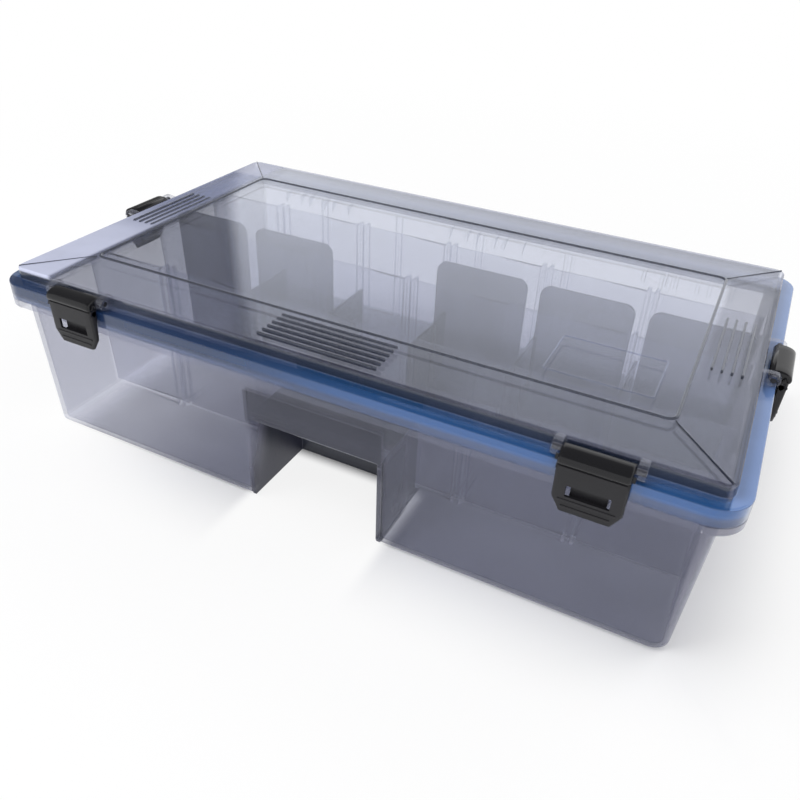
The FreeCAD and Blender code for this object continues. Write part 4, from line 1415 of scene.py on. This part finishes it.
@dataclass
class Studio:
    """The plain pale floor, the soft lamps and the camera.

    Attributes:
        spot: Camera place.
        turn: Camera turn in degrees about X, Y and Z.
        lens: Focal length for a sensor of 36 mm.
        open_sector: Azimuths, in degrees, between which no white sweep stands.
        sweep_top: Elevation of the sweep's top, in degrees.
        softness: Softness of the sector's two sides, and of the sweep's top in degrees.
        dim: Brightness of the room where it isn't white, in reflections.
        ambient: Strength of the surroundings as a source of light.
        floor: Half the floor's length, and its height just under the box.
        greys: The floor's two tones.
        footprint: Half the length and half the depth that the box stands on.
        edge: Distances from the footprint over which the glow grows.
        around: Share of white glow in the floor close around the box.
        fade: Distances from the middle over which the floor grows fully white.
        recess: Share of white glow in the carrying recess.
        recess_side: Distances from the middle over which that glow fades sideways.
        recess_back: Depths over which it fades backwards.
        left: Share of white glow under the left end.
        left_span: Places over which that glow fades to the right.
        lamps: Name, place, size and power of each softbox.
        aim: Where they point.
    """

    spot: Triple = (0.151643, -0.330596, 0.255244)
    turn: Triple = (55.80703, -2.15138, 26.79334)
    lens: float = 34.69
    open_sector: tuple = (128.7, 205.0)
    sweep_top: float = 42.0
    softness: tuple = (0.012, 0.1, 1.5)
    dim: float = 0.2
    ambient: float = 0.6
    floor: tuple = (6.0, -0.0004)
    greys: tuple[Colour, Colour] = ((0.86, 0.86, 0.865), (0.88, 0.88, 0.885))
    footprint: tuple = (0.166, 0.1)
    edge: tuple = (-0.006, 0.05)
    around: float = 0.8
    fade: tuple = (0.2, 0.9)
    recess: float = 0.85
    recess_side: tuple = (0.034, 0.042)
    recess_back: tuple = (-0.066, -0.056)
    left: float = 0.95
    left_span: tuple = (-0.165, -0.05)
    lamps: tuple = (
        ("key_softbox", (-0.9, -0.5, 1.5), (1.1, 1.1), 16.0),
        ("rim_softbox", (0.9, 1.0, 1.1), (0.9, 0.5), 6.0),
        ("front_card", (0.7, -1.3, 0.7), (0.7, 0.7), 5.0),
    )
    aim: Triple = (0.0, 0.0, 0.05)

    def build(self) -> None:
        """Make the floor, the surroundings, the lamps and the camera."""
        self._floor()
        self._surroundings()
        for name, spot, size, power in self.lamps:
            self._lamp(name, spot, size, power)
        self._camera()
        bpy.context.scene.view_settings.view_transform = "Standard"
        bpy.context.scene.cycles.transparent_max_bounces = 64

    def _floor(self) -> None:
        """Lay a wide pale sheet just under the box, which glows white around it and softly under its left end."""
        half, level = self.floor
        corners = np.array([[-half, -half, level], [half, -half, level], [half, half, level], [-half, half, level]])
        r = Recipe.named("floor_pale")
        tone = r.mixed(r.noise(*FLOOR_TONES), *self.greys)
        matte = r.node("ShaderNodeBsdfDiffuse", {}, {"Color": tone})
        seen = self._rays(r, "Is Camera Ray", "Is Glossy Ray", "Is Transmission Ray")
        x, y, _ = r.parts(r.place())
        around = (x.size() - self.footprint[0]).at_least(y.size() - self.footprint[1]).smooth_step(*self.edge)
        recess = (1.0 - x.size().smooth_step(*self.recess_side)) * (1.0 - y.smooth_step(*self.recess_back))
        far = ((x * x + y * y) ** 0.5).smooth_step(*self.fade)
        left = 1.0 - x.smooth_step(*self.left_span)
        white = around * (self.around + (1.0 - self.around) * far)
        white = white + (1.0 - around) * (recess * self.recess + (1.0 - recess) * left * self.left)
        glow = r.node("ShaderNodeEmission", {}, {"Color": (1.0, 1.0, 1.0, 1.0), "Strength": 1.0})
        finish = r.finish(r.node("ShaderNodeMixShader", {}, {0: (seen * white).clamped(), 1: matte, 2: glow}))
        floor = mesh_object("floor", corners, [[0, 1, 2, 3]], finish)

    def _rays(self, r: Recipe, *kinds: str) -> Signal:
        """Tell whether a ray is of one of several kinds.

        Args:
            r: The recipe that asks.
            kinds: Blender's names of the kinds.

        Returns:
            1 if it is, otherwise 0.
        """
        first, *others = (r.node("ShaderNodeLightPath", output=kind) for kind in kinds)
        for other in others:
            first = first.at_least(other)
        return first

    def _surroundings(self) -> None:
        """White to the camera, a softer grey as a source of light, and a room with a white sweep in reflections.

        In reflections the white sweep stands round the box up to its top, apart from the open
        sector, and the room over it is dim.
        """
        world = bpy.data.worlds.new("studio")
        bpy.context.scene.world = world
        r = Recipe(world, "ShaderNodeOutputWorld")
        x, y, z = r.parts(r.node("ShaderNodeTexCoord", output="Generated"))
        first, last = (math.radians(a) for a in self.open_sector)
        at_right, at_left, at_top = self.softness
        right = (x * math.sin(first) - y * math.cos(first)).smooth_step(-at_right, at_right)
        left = (y * math.cos(last) - x * math.sin(last)).smooth_step(-at_left, at_left)
        ends = (math.sin(math.radians(self.sweep_top + change)) for change in (-at_top, at_top))
        room = self.dim + (1.0 - self.dim) * (right.at_least(left) * (1.0 - z.smooth_step(*ends)))
        seen = self._rays(r, "Is Camera Ray")
        mirrored = self._rays(r, "Is Glossy Ray", "Is Transmission Ray")
        level = seen + (1.0 - seen) * (mirrored * room + (1.0 - mirrored) * self.ambient)
        r.finish(r.node("ShaderNodeBackground", {}, {"Color": (1.0, 1.0, 1.0, 1.0), "Strength": level}))

    def _lamp(self, name: str, spot: Triple, size: tuple[float, float], power: float) -> None:
        """Hang one rectangular softbox that faces the box and isn't mirrored in it.

        Args:
            name: Its name.
            spot: Its place.
            size: Its two sides.
            power: Its power in watts.
        """
        data = bpy.data.lights.new(name, "AREA")
        data.shape = "RECTANGLE"
        data.size, data.size_y = size
        data.energy = power
        lamp = in_scene(name, data)
        lamp.location = spot
        lamp.visible_glossy = False
        aim = np.array(self.aim) - np.array(spot)
        flat = math.hypot(aim[0], aim[1])
        lamp.rotation_euler = (math.atan2(flat, -aim[2]), 0.0, math.atan2(aim[1], aim[0]) - math.pi / 2)

    def _camera(self) -> None:
        """Place the camera where the photograph was taken from."""
        data = bpy.data.cameras.new("camera")
        data.sensor_width = 36.0
        data.lens = self.lens
        camera = in_scene("camera", data)
        camera.location = self.spot
        camera.rotation_euler = [math.radians(a) for a in self.turn]
        bpy.context.scene.camera = camera


class TackleBox:
    """The whole box, built piece by piece in order."""

    def build(self) -> None:
        """Build and dress every piece in order, and report each through the log."""
        pieces = Lid().build()
        pieces.append(GasketRing().build(BLUE_RUBBER.material()))
        pieces.append(Softened("tub", "tub_plastic", 0.5 * MM).build(TUB_PLASTIC.material()))
        smoky = DIVIDER_PLASTIC.material()
        for name in (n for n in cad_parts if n.startswith("divider")):
            pieces.append(Softened(name, "divider_plastic", 0.4 * MM).build(smoky))
        black = LATCH_PLASTIC.material()
        for side in Side:
            pieces += Latch(side).build(black)
        self._dress("hinge_pin", PIN_STEEL.material())
        self._dress("latch_pin", PIN_PLASTIC.material())
        for piece in pieces:
            LOG.info("%s: %d faces", piece.name, len(piece.data.polygons))

    def _dress(self, start: str, finish: bpy.types.Material) -> None:
        """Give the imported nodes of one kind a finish.

        Args:
            start: What their names start with.
            finish: The material.
        """
        for name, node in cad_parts.items():
            if name.startswith(start):
                for slot in node.material_slots:
                    slot.material = finish
                LOG.info("%s: dressed as %s", name, finish.name)


def main() -> None:
    """Build the box in its studio."""
    logging.basicConfig(level=logging.INFO, format="%(name)s: %(message)s")
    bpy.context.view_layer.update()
    TackleBox().build()
    Studio().build()


if __name__ == "__main__":
    main()
